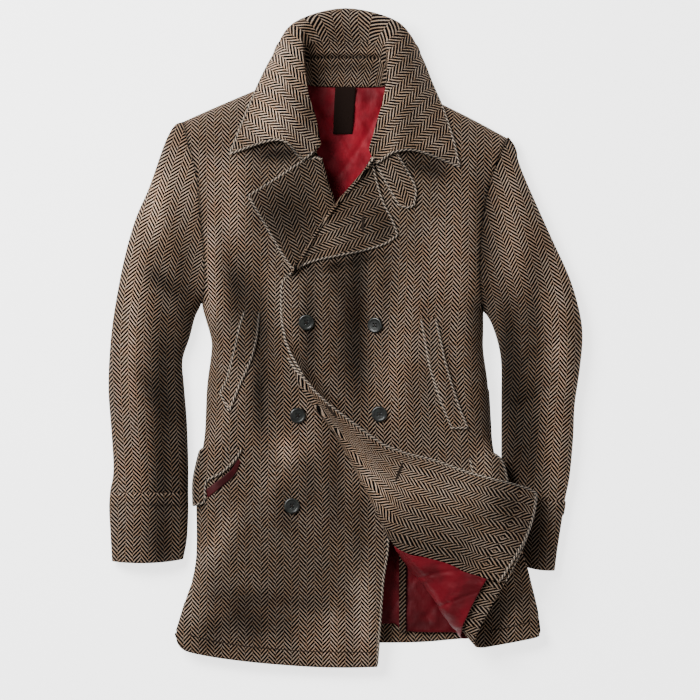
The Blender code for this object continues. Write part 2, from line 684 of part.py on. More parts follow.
FACING_ENDS = 436.0, 31.0       # y of the facing's ends on the flat front
LINING_ENDS = 168.0, 44.0       # the same for the lining beside it
FACING_CELLS = 16, 5, 6         # rows, and columns before and in the roll
LINING_CELLS = 8, 3, 6
EDGE_INSET = 0.6                # facing inside the front's edge
BESIDE_FACING = 1.1             # between the facing and the lining next to it
PAST_FOLD = 12.0                # how far facing and lining run on past the fold
ROLL_SHARE = 0.3, 0.7           # the columns of the roll start within this part of a row


def turned_strip(name, finish, thickness, ends, left, right, cells):
    """A strip inside the turned-back corner between two lines of the flat front."""
    y = np.linspace(*ends, cells[0] + 1)
    start, end = left(y), right(y)
    least, most = (start + share * (end - start) for share in ROLL_SHARE)
    middle = np.clip(x_at(fold_line, y) + ROLL_ZONE[0], least, most)
    x = np.hstack([np.linspace(start, middle, cells[1] + 1).T[:, :-1],
                   np.linspace(middle, end, cells[2] + 1).T])
    y = y[:, None] + 0 * x
    face = moved_out(over_front, x, y, 0 * x - WOOL - TURNED_GAP - thickness)
    wall(name, face, thickness, finish, -1)


def make_turned_inside():
    edge = curve(FRONT_EDGE_OVER)
    turned_strip("facing_over", "tweed", WOOL, FACING_ENDS,
                 lambda y: x_at(edge, y) + EDGE_INSET,
                 lambda y: np.minimum(x_at(fold_line, y) + PAST_FOLD, FACING_EDGE), FACING_CELLS)
    turned_strip("lining_over", "lining", LINING, LINING_ENDS,
                 lambda y: FACING_EDGE + BESIDE_FACING + 0 * y,
                 lambda y: x_at(fold_line, y) + PAST_FOLD, LINING_CELLS)


make_turned_inside()


# ---- sleeves and cuffs ------------------------------------------------------------

# Rings of a sleeve: fractions of its outer and of its inner seam.
SLEEVE_RINGS = [(0, 0), (0.035, 0.008), (0.085, 0.02), (0.15, 0.04), (0.23, 0.08), (0.32, 0.15),
                (0.42, 0.25), (0.52, 0.37), (0.62, 0.49), (0.72, 0.62), (0.81, 0.75),
                (0.9, 0.87), (1, 1)]
TUBE_CELLS = 8, 4           # across the top and across the underside
BOW_RINGS = 5               # rings over which the armhole's bow dies out
CUFF_BOW = 4.0              # how far the end of a cuff bows out


def make_tube(name, s, left, right, fractions, bow):
    """A sleeve or cuff between two seams; bow is added to the rings' straight chords."""
    if s == "right":
        left, right, fractions = right, left, fractions[:, ::-1]
    a, b = along(left, fractions[:, 0]), along(right, fractions[:, 1])
    top_cells, under_cells = TUBE_CELLS
    w = np.r_[(1 - np.cos(pi * spaced(top_cells + 1))) / 2,
              (1 + np.cos(pi * spaced(under_cells + 1)[1:-1])) / 2]
    plan = a[:, None] * (1 - w[:, None]) + b[:, None] * w[:, None] + bow(w)
    x, y = plan[..., 0], plan[..., 1]
    over = np.arange(len(w)) <= top_cells
    z = np.where(over, sleeve_top(s, x, y), sleeve_under(s, x, y))
    wall(name, np.stack([x, y, z], -1), WOOL, "tweed", ring=True)


def make_sleeve(s, outer_seam, inner_seam, cuff_outer, cuff_inner):
    away = np.array([-1.0 if s == "left" else 1.0, 0])
    fractions = np.array(SLEEVE_RINGS, float)
    hole = armhole[s] if s == "left" else armhole[s][::-1]

    def armhole_bow(w):
        chord = hole[:1] * (1 - w[:, None]) + hole[-1:] * w[:, None]
        first = along(hole, w) - chord
        share = np.clip(1 - np.arange(len(fractions)) / BOW_RINGS, 0, 1) ** 1.5
        return first[None] * share[:, None, None] + away * SLEEVE_GAP * (share[:, None, None] > 0)

    def cuff_bow(w):
        down = np.array([0, -CUFF_BOW]) * (4 * w * (1 - w))[:, None]
        return down[None] * np.array([0, 0.3, 0.6, 1])[:, None, None]

    make_tube(f"sleeve_{s}", s, curve(outer_seam), curve(inner_seam), fractions, armhole_bow)
    rings = np.repeat(spaced(4)[:, None], 2, axis=1)
    make_tube(f"cuff_{s}", s, curve(cuff_outer), curve(cuff_inner), rings, cuff_bow)


make_sleeve("left", SLEEVE_OUTER_LEFT, SLEEVE_INNER_LEFT, CUFF_OUTER_LEFT, CUFF_INNER_LEFT)
make_sleeve("right", SLEEVE_OUTER_RIGHT, SLEEVE_INNER_RIGHT, CUFF_OUTER_RIGHT, CUFF_INNER_RIGHT)


# ---- collar and throat tab --------------------------------------------------------

# Sections of the turned-up collar from its left end round the back to its right end: the
# row of COLLAR_HEIGHTS, then x and y of the neck seam, stand top, crest, three places
# down the fall and its free edge.
COLLAR = [
    (0, -43, 725, -40, 725, -35, 734, -59.5, 713, -82, 736, -108.5, 738, -162, 720),
    (1, -50, 753, -49, 756, -42, 773, -66.5, 773, -86, 770, -108.5, 766, -152, 745),
    (2, -59, 784, -58, 788, -52, 805, -75, 805, -87.5, 804, -103, 801, -135, 787),
    (3, -62, 814, -61, 823, -57, 843, -76, 843, -86, 840, -99, 836, -121, 820),
    (4, -57, 815, -58, 843, -59.5, 872, -76, 871, -85, 868, -93, 862, -103, 855),
    (5, -45.5, 809, -47, 854, -52.5, 896, -64, 904, -72, 904, -79, 896, -82, 882),
    (6, 0, 808, 0, 855, 0, 899, 0, 918, 0, 924, 0, 917, 0, 882),
    (5, 47, 808, 48, 854, 52.5, 896, 65, 906, 75, 904, 83, 893, 87.5, 879),
    (4, 58, 813, 59, 843, 59, 872, 75, 872, 86, 871, 97, 865, 107, 854),
    (3, 63, 810, 62, 823, 59, 840, 76, 840, 89, 837, 103, 832, 121, 820),
    (2, 60, 784, 59, 788, 54, 802, 75, 802, 90, 801, 108.5, 795, 138, 780),
    (1, 51, 753, 49, 756, 44, 764, 66.5, 764, 87.5, 762, 111, 756, 150.5, 742),
    (0, 41, 725, 38, 722, 33, 728, 44, 708, 66.5, 722, 101.5, 724, 160, 702),
]
# z of those seven places, from a section at either end to the one at the back.
COLLAR_HEIGHTS = [
    (44, 50, 57, 52, 58, 56, 46),
    (43, 50, 60, 60, 58, 54, 46),
    (38, 50, 62, 61, 58, 50, 36),
    (25, 44, 58, 57, 51, 40, 19),
    (14, 36, 50, 48, 42, 27, 8),
    (8, 24, 40, 38, 28, 14, 3),
    (8, 16, 30, 28, 19, 7, 1.5),
]
COLLAR_SECTIONS = 19        # sections that the surface is built on
STAND_CELLS = 3             # columns of the collar that belong to its stand
BEHIND_NECK = 835.0, 62.0   # above this y and within this x, the fall hangs free of the body
# Tab under the collar's right point: its long edges from the top, and its end.
TAB_LEFT = [(42, 708), (58, 678), (75, 648)]
TAB_RIGHT = [(70, 724), (97, 676), (96, 648)]
TAB_END = [(75, 648), (87, 644.5), (96, 648)]


def make_collar():
    rows = np.array(COLLAR, float)
    plan = rows[:, 1:].reshape(len(rows), -1, 2)
    height = np.array([COLLAR_HEIGHTS[int(row)] for row in rows[:, 0]], float)
    points = np.concatenate([plan, height[..., None]], -1)
    grid = np.array([curve(section, 2) for section in points])
    lines = [along(curve(line), spaced(COLLAR_SECTIONS)) for line in grid.transpose(1, 0, 2)]
    grid = np.stack(lines, 1)
    below = ["front_under", "front_over", "throat_tab"]
    x, y = grid[:, STAND_CELLS:, 0], grid[:, STAND_CELLS:, 1]
    lowest = top_of(below, x, y) + LAY_GAP + DOUBLE_WOOL
    lowest[(y > BEHIND_NECK[0]) & (np.abs(x) < BEHIND_NECK[1])] = 0
    grid[:, STAND_CELLS:, 2] = np.maximum(grid[:, STAND_CELLS:, 2], lowest)
    stand, fall = grid[:, :STAND_CELLS].copy(), grid[:, STAND_CELLS - 1:].copy()
    along_fall = fall[:, 1] - fall[:, 0]
    fall[:, 0] += along_fall / np.linalg.norm(along_fall, axis=-1, keepdims=True) * SEAM_GAP
    wall("collar_stand", stand, DOUBLE_WOOL, "tweed")
    wall("collar_fall", fall, DOUBLE_WOOL, "tweed")


def make_throat_tab():
    left, right = curve(TAB_LEFT), curve(TAB_RIGHT)
    x, y = patch(left, right, np.array([left[0], right[0]]), curve(TAB_END), spaced(7), spaced(4))
    wall("throat_tab", laid_on(["front_over"], x, y, DOUBLE_WOOL), DOUBLE_WOOL, "tweed")


make_throat_tab()
make_collar()


# ---- welts, pocket flaps and buttons ----------------------------------------------

# Two long edges of each welt, left and right, from the top.
WELTS = {
    "welt_left": ("front_under",
                  [(-141, 500), (-148, 478), (-155, 448), (-160, 427), (-166, 405), (-176, 385)],
                  [(-121, 498), (-125, 459), (-134, 428), (-146, 402), (-156, 378), (-163, 360)]),
    "welt_right": ("front_over",
                   [(106, 490), (113, 451), (120, 416), (134, 372), (149, 336)],
                   [(126, 490), (134, 455), (141, 424), (157, 372), (171, 336)]),
}
# Left and right outline of each flap, from its seam to its lowest point.
FLAPS = {
    "pocket_flap_left": ("front_under", [(-201, 307), (-205, 300), (-213, 262), (-213, 228)],
                         [(-145, 307), (-155, 291), (-174, 273), (-195, 261), (-197, 238),
                          (-199, 231)]),
    "pocket_flap_right": ("front_over", [(174, 295), (181, 262), (188, 235)],
                          [(206, 302), (219, 290), (227, 260), (225, 235)]),
}
FLAP_LINING = [(-151, 292), (-160, 277), (-180, 261), (-195, 250)], \
              [(-147, 289), (-156, 270), (-174, 254), (-193, 239)]
# Buttons: the front that each is sewn to, x and y.
BUTTONS = [("front_over", -55, 484), ("front_over", 42, 480), ("front_under", -67, 353.5),
           ("front_over", 47.6, 355.6), ("front_under", -75, 227), ("front_over", 68, 226)]
INSIDE_SIDE = 1.0, 9.0      # a flap that hangs over a side seam lies as it does this far in
UNDER_CORNER = 3.2          # a height above the flat front, below the turned-back corner


def make_flat_pieces():
    for name, (carrier, left, right) in WELTS.items():
        left, right = curve(left), curve(right)
        x, y = patch(left, right, np.array([left[0], right[0]]), np.array([left[-1], right[-1]]),
                     spaced(11), spaced(4))
        wall(name, laid_on([carrier], x, y, DOUBLE_WOOL), DOUBLE_WOOL, "tweed")
    x, y = patch(curve(FLAP_LINING[0]), curve(FLAP_LINING[1]),
                 np.array([FLAP_LINING[0][0], FLAP_LINING[1][0]], float),
                 np.array([FLAP_LINING[0][-1], FLAP_LINING[1][-1]], float), spaced(8), spaced(3))
    wall("flap_lining_left", laid_on(["front_under"], x, y, LINING), LINING, "lining")
    for name, (carrier, left, right) in FLAPS.items():
        left, right = curve(left), curve(right)
        x, y = patch(left, right, np.array([left[0], right[0]]), np.array([left[-1], right[-1]]),
                     spaced(8), spaced(6))
        below = [carrier] + ["flap_lining_left"] * (carrier == "front_under")
        z = 0 * x
        for inside in INSIDE_SIDE:
            within = np.clip(x, x_at(side["left"], y) + inside, x_at(side["right"], y) - inside)
            ceiling = over_height(within, y) + UNDER_CORNER
            z = np.maximum(z, laid_on(below, within, y, DOUBLE_WOOL, ceiling)[..., 2])
        wall(name, np.stack([x, y, z], -1), DOUBLE_WOOL, "tweed")


make_flat_pieces()

# Section of a button: radius and height above its underside.
BUTTON_SECTION = [(0, 0), (8.5, 0), (10.4, 0.9), (11, 2.1), (10.6, 3.4), (9.6, 4), (8.2, 3.9),
                  (7.2, 3.2), (0, 3.0)]
BUTTON_SIDES = 18


def make_button(name, carrier, x, y):
    turn = 2 * pi * np.arange(BUTTON_SIDES) / BUTTON_SIDES
    rim = np.stack([np.cos(turn), np.sin(turn)], -1) * BUTTON_SECTION[3][0]
    felt = np.vstack([rim, rim / 2])
    ceiling = over_height(x + felt[:, 0], y + felt[:, 1]) + UNDER_CORNER
    height = top_of([carrier], x + felt[:, 0], y + felt[:, 1], ceiling, [(0, 0)])
    slope = felt.T @ (height - height.mean()) / (felt ** 2).sum(0)
    base = (height - felt @ slope).max() + BUTTON_GAP
    tilt = Vector((-slope[0], -slope[1], 1)).normalized()
    turned = np.array(Vector((0, 0, 1)).rotation_difference(tilt).to_matrix())
    rings = [np.hstack([rim / BUTTON_SECTION[3][0] * r, np.full((BUTTON_SIDES, 1), h)])
             for r, h in BUTTON_SECTION[1:-1]]
    ends = [np.array([[0, 0, h]]) for r, h in (BUTTON_SECTION[0], BUTTON_SECTION[-1])]
    points = np.vstack(rings + ends) @ turned.T + (x, y, base)
    faces = []
    last = len(rings) - 1
    low, high = len(rings) * BUTTON_SIDES, len(rings) * BUTTON_SIDES + 1
    for k in range(BUTTON_SIDES):
        n = (k + 1) % BUTTON_SIDES
        faces += [[low, n, k], [high, last * BUTTON_SIDES + k, last * BUTTON_SIDES + n]]
        faces += [[i * BUTTON_SIDES + k, i * BUTTON_SIDES + n, (i + 1) * BUTTON_SIDES + n,
                   (i + 1) * BUTTON_SIDES + k] for i in range(last)]
    add(name, points, faces, "horn")


for number, button in enumerate(BUTTONS, 1):
    make_button(f"button_{number}", *button)
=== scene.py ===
from math import cos, pi, radians, sin

import bpy
import numpy as np
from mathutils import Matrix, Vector
from mathutils.bvhtree import BVHTree


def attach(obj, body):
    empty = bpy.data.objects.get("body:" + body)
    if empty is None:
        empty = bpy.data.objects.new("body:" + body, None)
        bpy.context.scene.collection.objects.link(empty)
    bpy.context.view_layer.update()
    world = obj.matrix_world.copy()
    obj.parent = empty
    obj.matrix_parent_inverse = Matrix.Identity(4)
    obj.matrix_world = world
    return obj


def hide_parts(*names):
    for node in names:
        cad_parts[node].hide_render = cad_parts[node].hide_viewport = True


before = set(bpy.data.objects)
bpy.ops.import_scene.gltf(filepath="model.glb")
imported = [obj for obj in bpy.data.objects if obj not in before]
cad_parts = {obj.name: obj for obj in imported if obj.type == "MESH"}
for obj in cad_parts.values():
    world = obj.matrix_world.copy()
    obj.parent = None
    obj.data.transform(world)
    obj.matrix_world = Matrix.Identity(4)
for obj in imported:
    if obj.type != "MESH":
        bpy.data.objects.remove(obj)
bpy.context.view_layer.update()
mm = 0.001
middle = -1.0, 462.1    # x and y of the frame's origin

cloth = {"wool": 2.0, "doubled": 2.6, "lining": 1.2}
gaps = {"lay": 0.45, "front": 1.1, "overFront": 4.2, "overLapel": 4.0, "turned": 2.8,
        "sleeve": 1.1}


# Lines, tables and grids.

def curve(points, steps=6):
    p = np.array(points, float)
    ends = np.vstack([2 * p[0] - p[1], p, 2 * p[-1] - p[-2]])
    out = []
    for i in range(1, len(ends) - 2):
        a, b, c, d = ends[i - 1:i + 3]
        for t in np.arange(steps) / steps:
            out.append(b + 0.5 * t * (c - a + t * (2 * a - 5 * b + 4 * c - d
                                                   + t * (3 * (b - c) + d - a))))
    return np.array(out + [p[-1]])


def joined(*lines):
    return np.vstack([curve(line) for line in lines])


def lengths(line):
    return np.r_[0, np.cumsum(np.linalg.norm(np.diff(line, axis=0), axis=1))]


def along(line, fractions):
    length = lengths(line)
    where = np.asarray(fractions) * length[-1]
    return np.stack([np.interp(where, length, line[:, k]) for k in range(line.shape[1])], -1)


def distanceTo(lines, x, y):
    best = np.full(np.shape(x), 1e9)
    for line in lines:
        for (ax, ay), (bx, by) in zip(line[:-1], line[1:]):
            dx, dy = bx - ax, by - ay
            t = np.clip(((x - ax) * dx + (y - ay) * dy) / (dx * dx + dy * dy + 1e-9), 0, 1)
            best = np.minimum(best, (x - ax - t * dx) ** 2 + (y - ay - t * dy) ** 2)
    return np.sqrt(best)


def smooth(x, low, high):
    t = np.clip((x - low) / (high - low), 0, 1)
    return t * t * (3 - 2 * t)


def rounded(gap, reach):    # 0 at an edge, 1 beyond its reach, a quarter circle between
    return np.sqrt(np.maximum(1 - (1 - np.clip(gap / reach, 0, 1)) ** 2, 0))


def tableAt(rows, value):
    rows = np.array(rows, float)
    return np.interp(value, rows[:, 0], rows[:, 1])


def xAt(line, y):
    order = np.argsort(line[:, 1])
    return np.interp(y, line[order, 1], line[order, 0])


def spaced(count, power=1.0):
    return np.linspace(0, 1, count) ** power


def bothEnds(count, ease=0.6):     # closer together towards both ends
    t = np.linspace(0, 1, count)
    return (1 - ease) * t + ease * (1 - np.cos(pi * t)) / 2


def patch(left, right, top, bottom, rows, columns):
    v = np.asarray(rows)[:, None, None]
    u = np.broadcast_to(columns, (len(rows), np.shape(columns)[-1]))
    a, b = along(left, rows)[:, None], along(right, rows)[:, None]
    c, d = along(top, u), along(bottom, u)
    u = u[..., None]
    corners = ((1 - u) * (1 - v) * a[:1] + u * (1 - v) * b[:1]
               + (1 - u) * v * a[-1:] + u * v * b[-1:])
    grid = (1 - u) * a + u * b + (1 - v) * c + v * d - corners
    return grid[..., 0], grid[..., 1]


# Outlines in plan.

shoulderLines = {"left": [(-68, 833), (-126, 809), (-180, 786), (-227, 765)],
                 "right": [(68, 823), (134, 790), (180, 767), (226, 742)]}
sleeveOuter = {"left": [(-227, 765), (-238, 761), (-247, 748), (-256, 727), (-275, 673),
                        (-295, 626), (-311, 568), (-324, 498), (-330, 445), (-332, 389),
                        (-328, 333), (-325, 277), (-330, 246)],
               "right": [(226, 742), (236, 728), (247, 696), (267, 650), (290, 599),
                         (314, 546), (328, 498), (332, 462), (328, 417), (321, 368),
                         (319, 323), (314, 269), (307, 234)]}
sleeveInner = {"left": [(-201, 511), (-205, 503), (-211, 490), (-218, 463), (-228, 431),
                        (-226, 396), (-222, 347), (-220, 291), (-220, 246)],
               "right": [(193, 499), (199, 492), (206, 478), (214, 452), (218, 424),
                         (218, 375), (218, 300), (219, 234)]}
cuffOuter = {"left": [(-330, 245), (-331, 222), (-329, 185), (-327, 150)],
             "right": [(307, 233), (302, 200), (297, 168), (293, 137)]}
cuffInner = {"left": [(-220, 245), (-220, 215), (-222, 180), (-227, 153)],
             "right": [(219, 233), (221, 200), (225, 170), (232, 150)]}
armholeLines = {"left": [(-227, 765), (-218, 727), (-208, 689), (-203, 630), (-198, 582),
                         (-197, 545), (-201, 511)],
                "right": [(226, 742), (211, 707), (199, 669), (191, 619), (188, 570),
                          (189, 530), (193, 499)]}
sideLines = {"left": [(-201, 511), (-199, 500), (-195, 486), (-188, 460), (-188, 440),
                      (-194, 393), (-197, 329), (-203, 290), (-207, 240), (-208, 150),
                      (-224, 95), (-237, 52)],
             "right": [(193, 499), (193, 473), (193, 444), (199, 400), (202, 353), (204, 316),
                       (210, 290), (222, 240), (238, 190), (252, 146), (258, 122), (267, 84),
                       (271, 55)]}
topOfSides = 430.0      # body and sleeve share their rounding above this height


def upper(line):
    return line[line[:, 1] > topOfSides]


shoulder = {s: curve(line) for s, line in shoulderLines.items()}
side = {s: curve(line) for s, line in sideLines.items()}
armhole = {s: curve(line) for s, line in armholeLines.items()}
outer = {s: curve(sleeveOuter[s] + cuffOuter[s][1:]) for s in side}
inner = {s: curve(sleeveInner[s] + cuffInner[s][1:]) for s in side}
bodyEdges = [part for s in side
             for part in (shoulder[s], side[s], upper(outer[s]), upper(inner[s]))]
sleeveEdges = {s: [shoulder[s], outer[s], inner[s], upper(side[s])] for s in side}


# How high the cloth stands.

heights = {
    "seam": 12.0, "sideRound": 42.0, "underRound": 18.0,
    # y and height of the body and of the sleeves along their middle
    "crown": [(0, 21), (60, 26), (110, 30), (260, 38), (450, 44), (600, 47), (740, 42),
              (840, 36)],
    "sleeveCrown": [(130, 27), (260, 34), (450, 40), (600, 43), (770, 38)],
    "crownsMeet": (165.0, 235.0), "sleeveJoins": (380.0, 470.0),
    "onSleeve": (285.0, 330.0), "offSleeve": (92.0, 150.0),     # right side up on the sleeve
    "climb": (50.0, 8.0), "climbHeight": 39.0, "climbThins": 0.8,
}
# Folds: from x, from y, to x, to y, half width, rise (minus is a trough).
folds = [
    (-150, 640, -95, 500, 30, -6),
    (-118, 560, -160, 430, 28, -4),
    (-70, 520, -85, 330, 30, 3),
    (5, 470, -15, 300, 30, -4),
    (60, 600, 72, 340, 30, 3),
    (110, 560, 95, 430, 28, -4),
    (150, 620, 178, 470, 24, 3),
    (-30, 230, -20, 60, 32, 3),
    (-120, 260, -150, 70, 30, -4),
    (-285, 560, -262, 350, 18, -4),
    (-300, 470, -285, 300, 16, 3),
    (268, 540, 250, 330, 18, -4),
    (296, 480, 290, 300, 16, 3),
]
# Creases of the visible cloth, softer and narrower, in the same columns.
creases = [
    (-158, 575, -100, 400, 17, -8),     # beside the left welt
    (-185, 320, -128, 415, 15, 5),
    (-196, 700, -182, 560, 16, 5),
    (-120, 470, -88, 380, 11, -3),
    (22, 575, 24, 390, 19, -9),         # down the front that lies over
    (70, 520, 80, 340, 17, 6),
    (-40, 560, -26, 420, 14, 4),
    (118, 500, 126, 380, 9, -3),
    (150, 480, 160, 340, 9, -3),
    (-300, 560, -236, 512, 11, -6),     # elbows
    (-305, 470, -236, 420, 11, -5),
    (-308, 430, -240, 350, 10, -4),
    (-318, 400, -250, 300, 11, -3),
    (-270, 690, -250, 590, 14, 4),
    (238, 600, 300, 470, 15, 5),
    (228, 520, 262, 380, 15, -6),
    (246, 420, 318, 470, 11, -4),
    (236, 360, 300, 400, 10, -4),
    (-190, 96, 10, 74, 15, -4),         # skirt
    (-60, 310, -112, 240, 18, 5),
    (-20, 300, 24, 180, 15, -4),
    (-180, 280, -90, 150, 18, -4),
    (-205, 180, -190, 60, 14, 4),
]


# Painted shade in the troughs of folds and under the collar's edges, and painted light on their
# ridges, in the same columns: a factor on the cloth's colour.
paintedShadeRows = [
    (-155, 563, -106, 445, 22, -0.5), (-106, 445, -92, 347, 18, -0.35),
    (-150, 465, -146, 426, 10, -0.35), (4, 563, 6, 386, 20, -0.55),
    (-52, 504, -43, 406, 14, -0.3), (-278, 558, -234, 524, 14, -0.5),
    (-297, 426, -239, 347, 14, -0.4), (-227, 494, -227, 190, 22, -0.45),
    (217, 514, 237, 190, 28, -0.5), (246, 406, 246, 269, 22, -0.3),
    (-141, 724, -62, 715, 14, -0.5), (75, 724, 143, 705, 12, -0.45),
    (-101, 661, -62, 612, 40, -0.45), (-190, 102, 6, 83, 18, -0.25),
    (-160, 190, -13, 190, 60, -0.2), (192, 690, 192, 504, 12, -0.4),
    (-200, 690, -204, 504, 12, -0.35), (163, 190, 241, 230, 25, -0.25),
    (-307, 190, -239, 171, 30, -0.2), (271, 210, 285, 150, 30, -0.25),
    (26, 612, 55, 641, 20, -0.2), (-30, 880, 24, 880, 22, -0.25), (-50, 842, 50, 842, 9, -0.4),
    (-185, 660, -120, 700, 30, -0.1), (-180, 710, -175, 592, 22, 0.3),
    (-116, 563, -97, 524, 12, 0.3), (-92, 514, -62, 406, 8, 0.3),
    (-190, 308, -131, 401, 16, 0.35), (65, 514, 80, 337, 18, 0.45),
    (124, 661, 153, 524, 30, 0.15), (-244, 729, -288, 612, 26, 0.4),
    (241, 700, 300, 475, 24, 0.25), (300, 465, 315, 386, 14, 0.3), (290, 347, 300, 190, 14, 0.3),
    (-43, 308, -121, 230, 22, 0.25), (-214, 171, -214, 53, 14, 0.3), (26, 161, 31, 34, 18, 0.3),
    (-92, 788, -101, 739, 30, 0.4), (75, 818, 104, 749, 22, 0.3), (6, 328, 65, 210, 14, 0.35),
    (104, 288, 222, 269, 16, 0.15), (-312, 347, -315, 171, 12, 0.15),
    (104, 465, 143, 357, 5, 0.3),
]


# Painted light and painted shade where the folds of the worn cloth turn to the light or away from
# it, with painted shadow under the collar's and the over lapel's edges, in the same columns.
shades = [
    (-295, 610, -300, 370, 16, 0.9), (-290, 347, -295, 180, 14, 0.25),
    (-257, 520, -258, 140, 19, -0.72), (-228, 600, -226, 480, 15, -0.5),
    (-258, 690, -268, 600, 16, 0.75), (-225, 720, -225, 640, 18, 0.4),
    (-190, 610, -190, 490, 14, 1.1), (-190, 720, -190, 620, 18, 0.35),
    (-155, 720, -155, 600, 17, 0.7), (-120, 570, -122, 340, 13, -0.4),
    (-122, 410, -118, 325, 12, -0.4), (-155, 560, -155, 480, 13, -0.3),
    (-120, 690, -120, 610, 16, -0.3), (-50, 560, -50, 430, 13, -0.55),
    (-85, 325, -85, 290, 14, 0.9), (-50, 400, -52, 300, 14, 0.35),
    (-15, 580, -12, 520, 13, -0.4), (20, 620, 20, 350, 15, -0.65), (55, 580, 55, 440, 13, -0.42),
    (90, 570, 90, 430, 14, 0.6), (-15, 330, -15, 190, 15, -0.42),
    (-50, 300, -50, 220, 15, -0.42), (-85, 260, -85, 190, 16, -0.42),
    (20, 250, 20, 140, 14, -0.42), (-150, 225, -192, 150, 14, 0.8),
    (-130, 130, 0, 130, 42, -0.25), (-165, 85, -110, 50, 30, -0.65),
    (-190, 70, -190, 20, 20, -0.4), (-85, 80, -85, 40, 18, -0.4), (-15, 95, -20, 5, 16, 0.75),
    (22, 125, 25, 5, 16, 0.65), (-50, 50, -50, 10, 14, 0.35), (125, 620, 125, 530, 16, 0.3),
    (160, 660, 160, 420, 17, 0.25), (195, 700, 195, 550, 11, -0.25),
    (80, 708, 145, 690, 14, -0.65), (230, 720, 232, 540, 16, 0.5),
    (230, 510, 230, 360, 15, -0.55), (264, 580, 262, 230, 16, -0.48),
    (300, 580, 302, 250, 15, 0.65), (195, 320, 195, 260, 12, 0.4), (232, 150, 232, 40, 12, 0.45),
    (195, 150, 195, 120, 12, -0.4), (-118, 718, -60, 724, 10, -0.6),
    (-62, 553, 66, 582, 8, -0.4),
]
# The same painted light and painted shade for pieces that lie over others, with a painted
# highlight and painted shade beside the seams of the cuffs and the stand, and painted light in
# the neck of the lining, and how light each is on the whole.
pieceShades = {
    "collarFall": [(-84, 890, -124, 722, 30, 0.85), (-50, 800, -50, 750, 13, -0.5),
                   (54, 890, 60, 710, 15, 0.6), (88, 790, 95, 745, 14, -0.35),
                   (105, 738, 145, 724, 10, 0.3)],
    "collarStand": [(-50, 895, -50, 850, 12, -0.5), (-60, 855, 60, 855, 2.6, -0.75),
                    (-60, 864, 60, 864, 3.5, 0.25)],
    "lapelUnder": [(-40, 690, -20, 560, 12, 0.3)],
    "lapelOver": [(-30, 640, -20, 580, 16, 0.6), (60, 640, 50, 590, 14, -0.3)],
    "facingOver": [(20, 268, 175, 240, 28, 0.6), (30, 180, 200, 150, 28, -0.35),
                   (226, 270, 236, 240, 14, 0.5)],
    "backLining": [(0, 800, 0, 570, 80, 1.1), (95, 110, 95, 50, 34, -0.5)],
    "flapLiningLeft": [], "liningOver": [], "neckStrip": [], "ventEdge": [],
    "cuffLeft": [(-258, 260, -258, 130, 19, -0.65), (-295, 260, -295, 140, 14, 0.25),
                 (-345, 243, -205, 243, 1.3, 0.5), (-345, 228, -205, 228, 1.6, -0.4)],
    "cuffRight": [(264, 250, 262, 130, 16, -0.3), (205, 230.5, 320, 230.5, 1.3, 0.45)],
}
# Painted shade over whole pieces that lie partly under others.
pieceShadeFactors = {"lapelUnder": 0.55, "lapelOver": 0.7, "ventEdge": 0.5, "flapLiningLeft": 0.32}
shadeFactorLimits = 0.22, 2.3
# Painted shade along the armhole seam: how much darker, and over what width in mm.
armholeSeamShade = {"depth": 0.55, "width": 2.6}


foldFade = -0.25, 0.3       # where a fold starts and is full, as a share of its length


def rise(rows, x, y):
    out = np.zeros(np.shape(x))
    for ax, ay, bx, by, width, height in rows:
        dx, dy = bx - ax, by - ay
        length = np.hypot(dx, dy)
        t = ((x - ax) * dx + (y - ay) * dy) / length ** 2
        off = ((x - ax) * dy - (y - ay) * dx) / length
        fade = smooth(t, *foldFade) * smooth(1 - t, *foldFade)
        out = out + height * fade * np.exp(-(off / width) ** 2)
    return out


def paintedShadeAt(name, x, y):     # painted light and painted shade on the cloth of a piece, as a factor on its colour
    shadeFactor = (1 + rise(paintedShadeRows, x, y)) * pieceShadeFactors.get(name, 1)
    shadeFactor = shadeFactor * (1 + rise(pieceShades[name] if name in pieceShades else shades, x, y))
    # painted shade along the armhole seam of sleeves and fronts
    if name.startswith(("sleeve", "front")) and not name.endswith("Edge"):
        gap = distanceTo(list(armhole.values()), x, y)
        shadeFactor = shadeFactor * (1 - armholeSeamShade["depth"] * np.exp(-(gap / armholeSeamShade["width"]) ** 2))
    return np.clip(shadeFactor, *shadeFactorLimits)


def ripple(x, y):       # small unevenness of cloth that has been worn
    return (0.5 * np.sin(x / 31 + 1.3 * np.sin(y / 83)) * np.sin(y / 67 + 0.7)
            + 0.3 * np.sin(x / 17 + y / 41 + 2) + 0.25 * np.sin(y / 23 - x / 53 + 4))


def fullHeight(x, y):
    body = tableAt(heights["crown"], y)
    sleeve = tableAt(heights["sleeveCrown"], y)
    share = smooth(np.abs(x), *heights["crownsMeet"]) * smooth(y, *heights["sleeveJoins"])
    return body + (sleeve - body) * share


def climb(x, y):        # how far the right side is lifted by the sleeve under it
    start = xAt(inner["right"], y)
    before, past = heights["climb"]
    return (smooth(x, start - before, start + past) * (1 - smooth(y, *heights["onSleeve"]))
            * smooth(y, *heights["offSleeve"]))


def bodyTop(x, y):
    edge = rounded(distanceTo(bodyEdges, x, y), heights["sideRound"])
    up = climb(x, y)
    thick = (fullHeight(x, y) - heights["seam"]) * (1 - heights["climbThins"] * up)
    relief = rise(folds + creases, x, y) + ripple(x, y)
    return heights["seam"] + heights["climbHeight"] * up + (thick + relief * (1 - up)) * edge


def bodyUnder(x, y):
    edge = rounded(distanceTo(bodyEdges, x, y), heights["underRound"])
    return heights["seam"] * (1 - edge) + heights["climbHeight"] * climb(x, y)


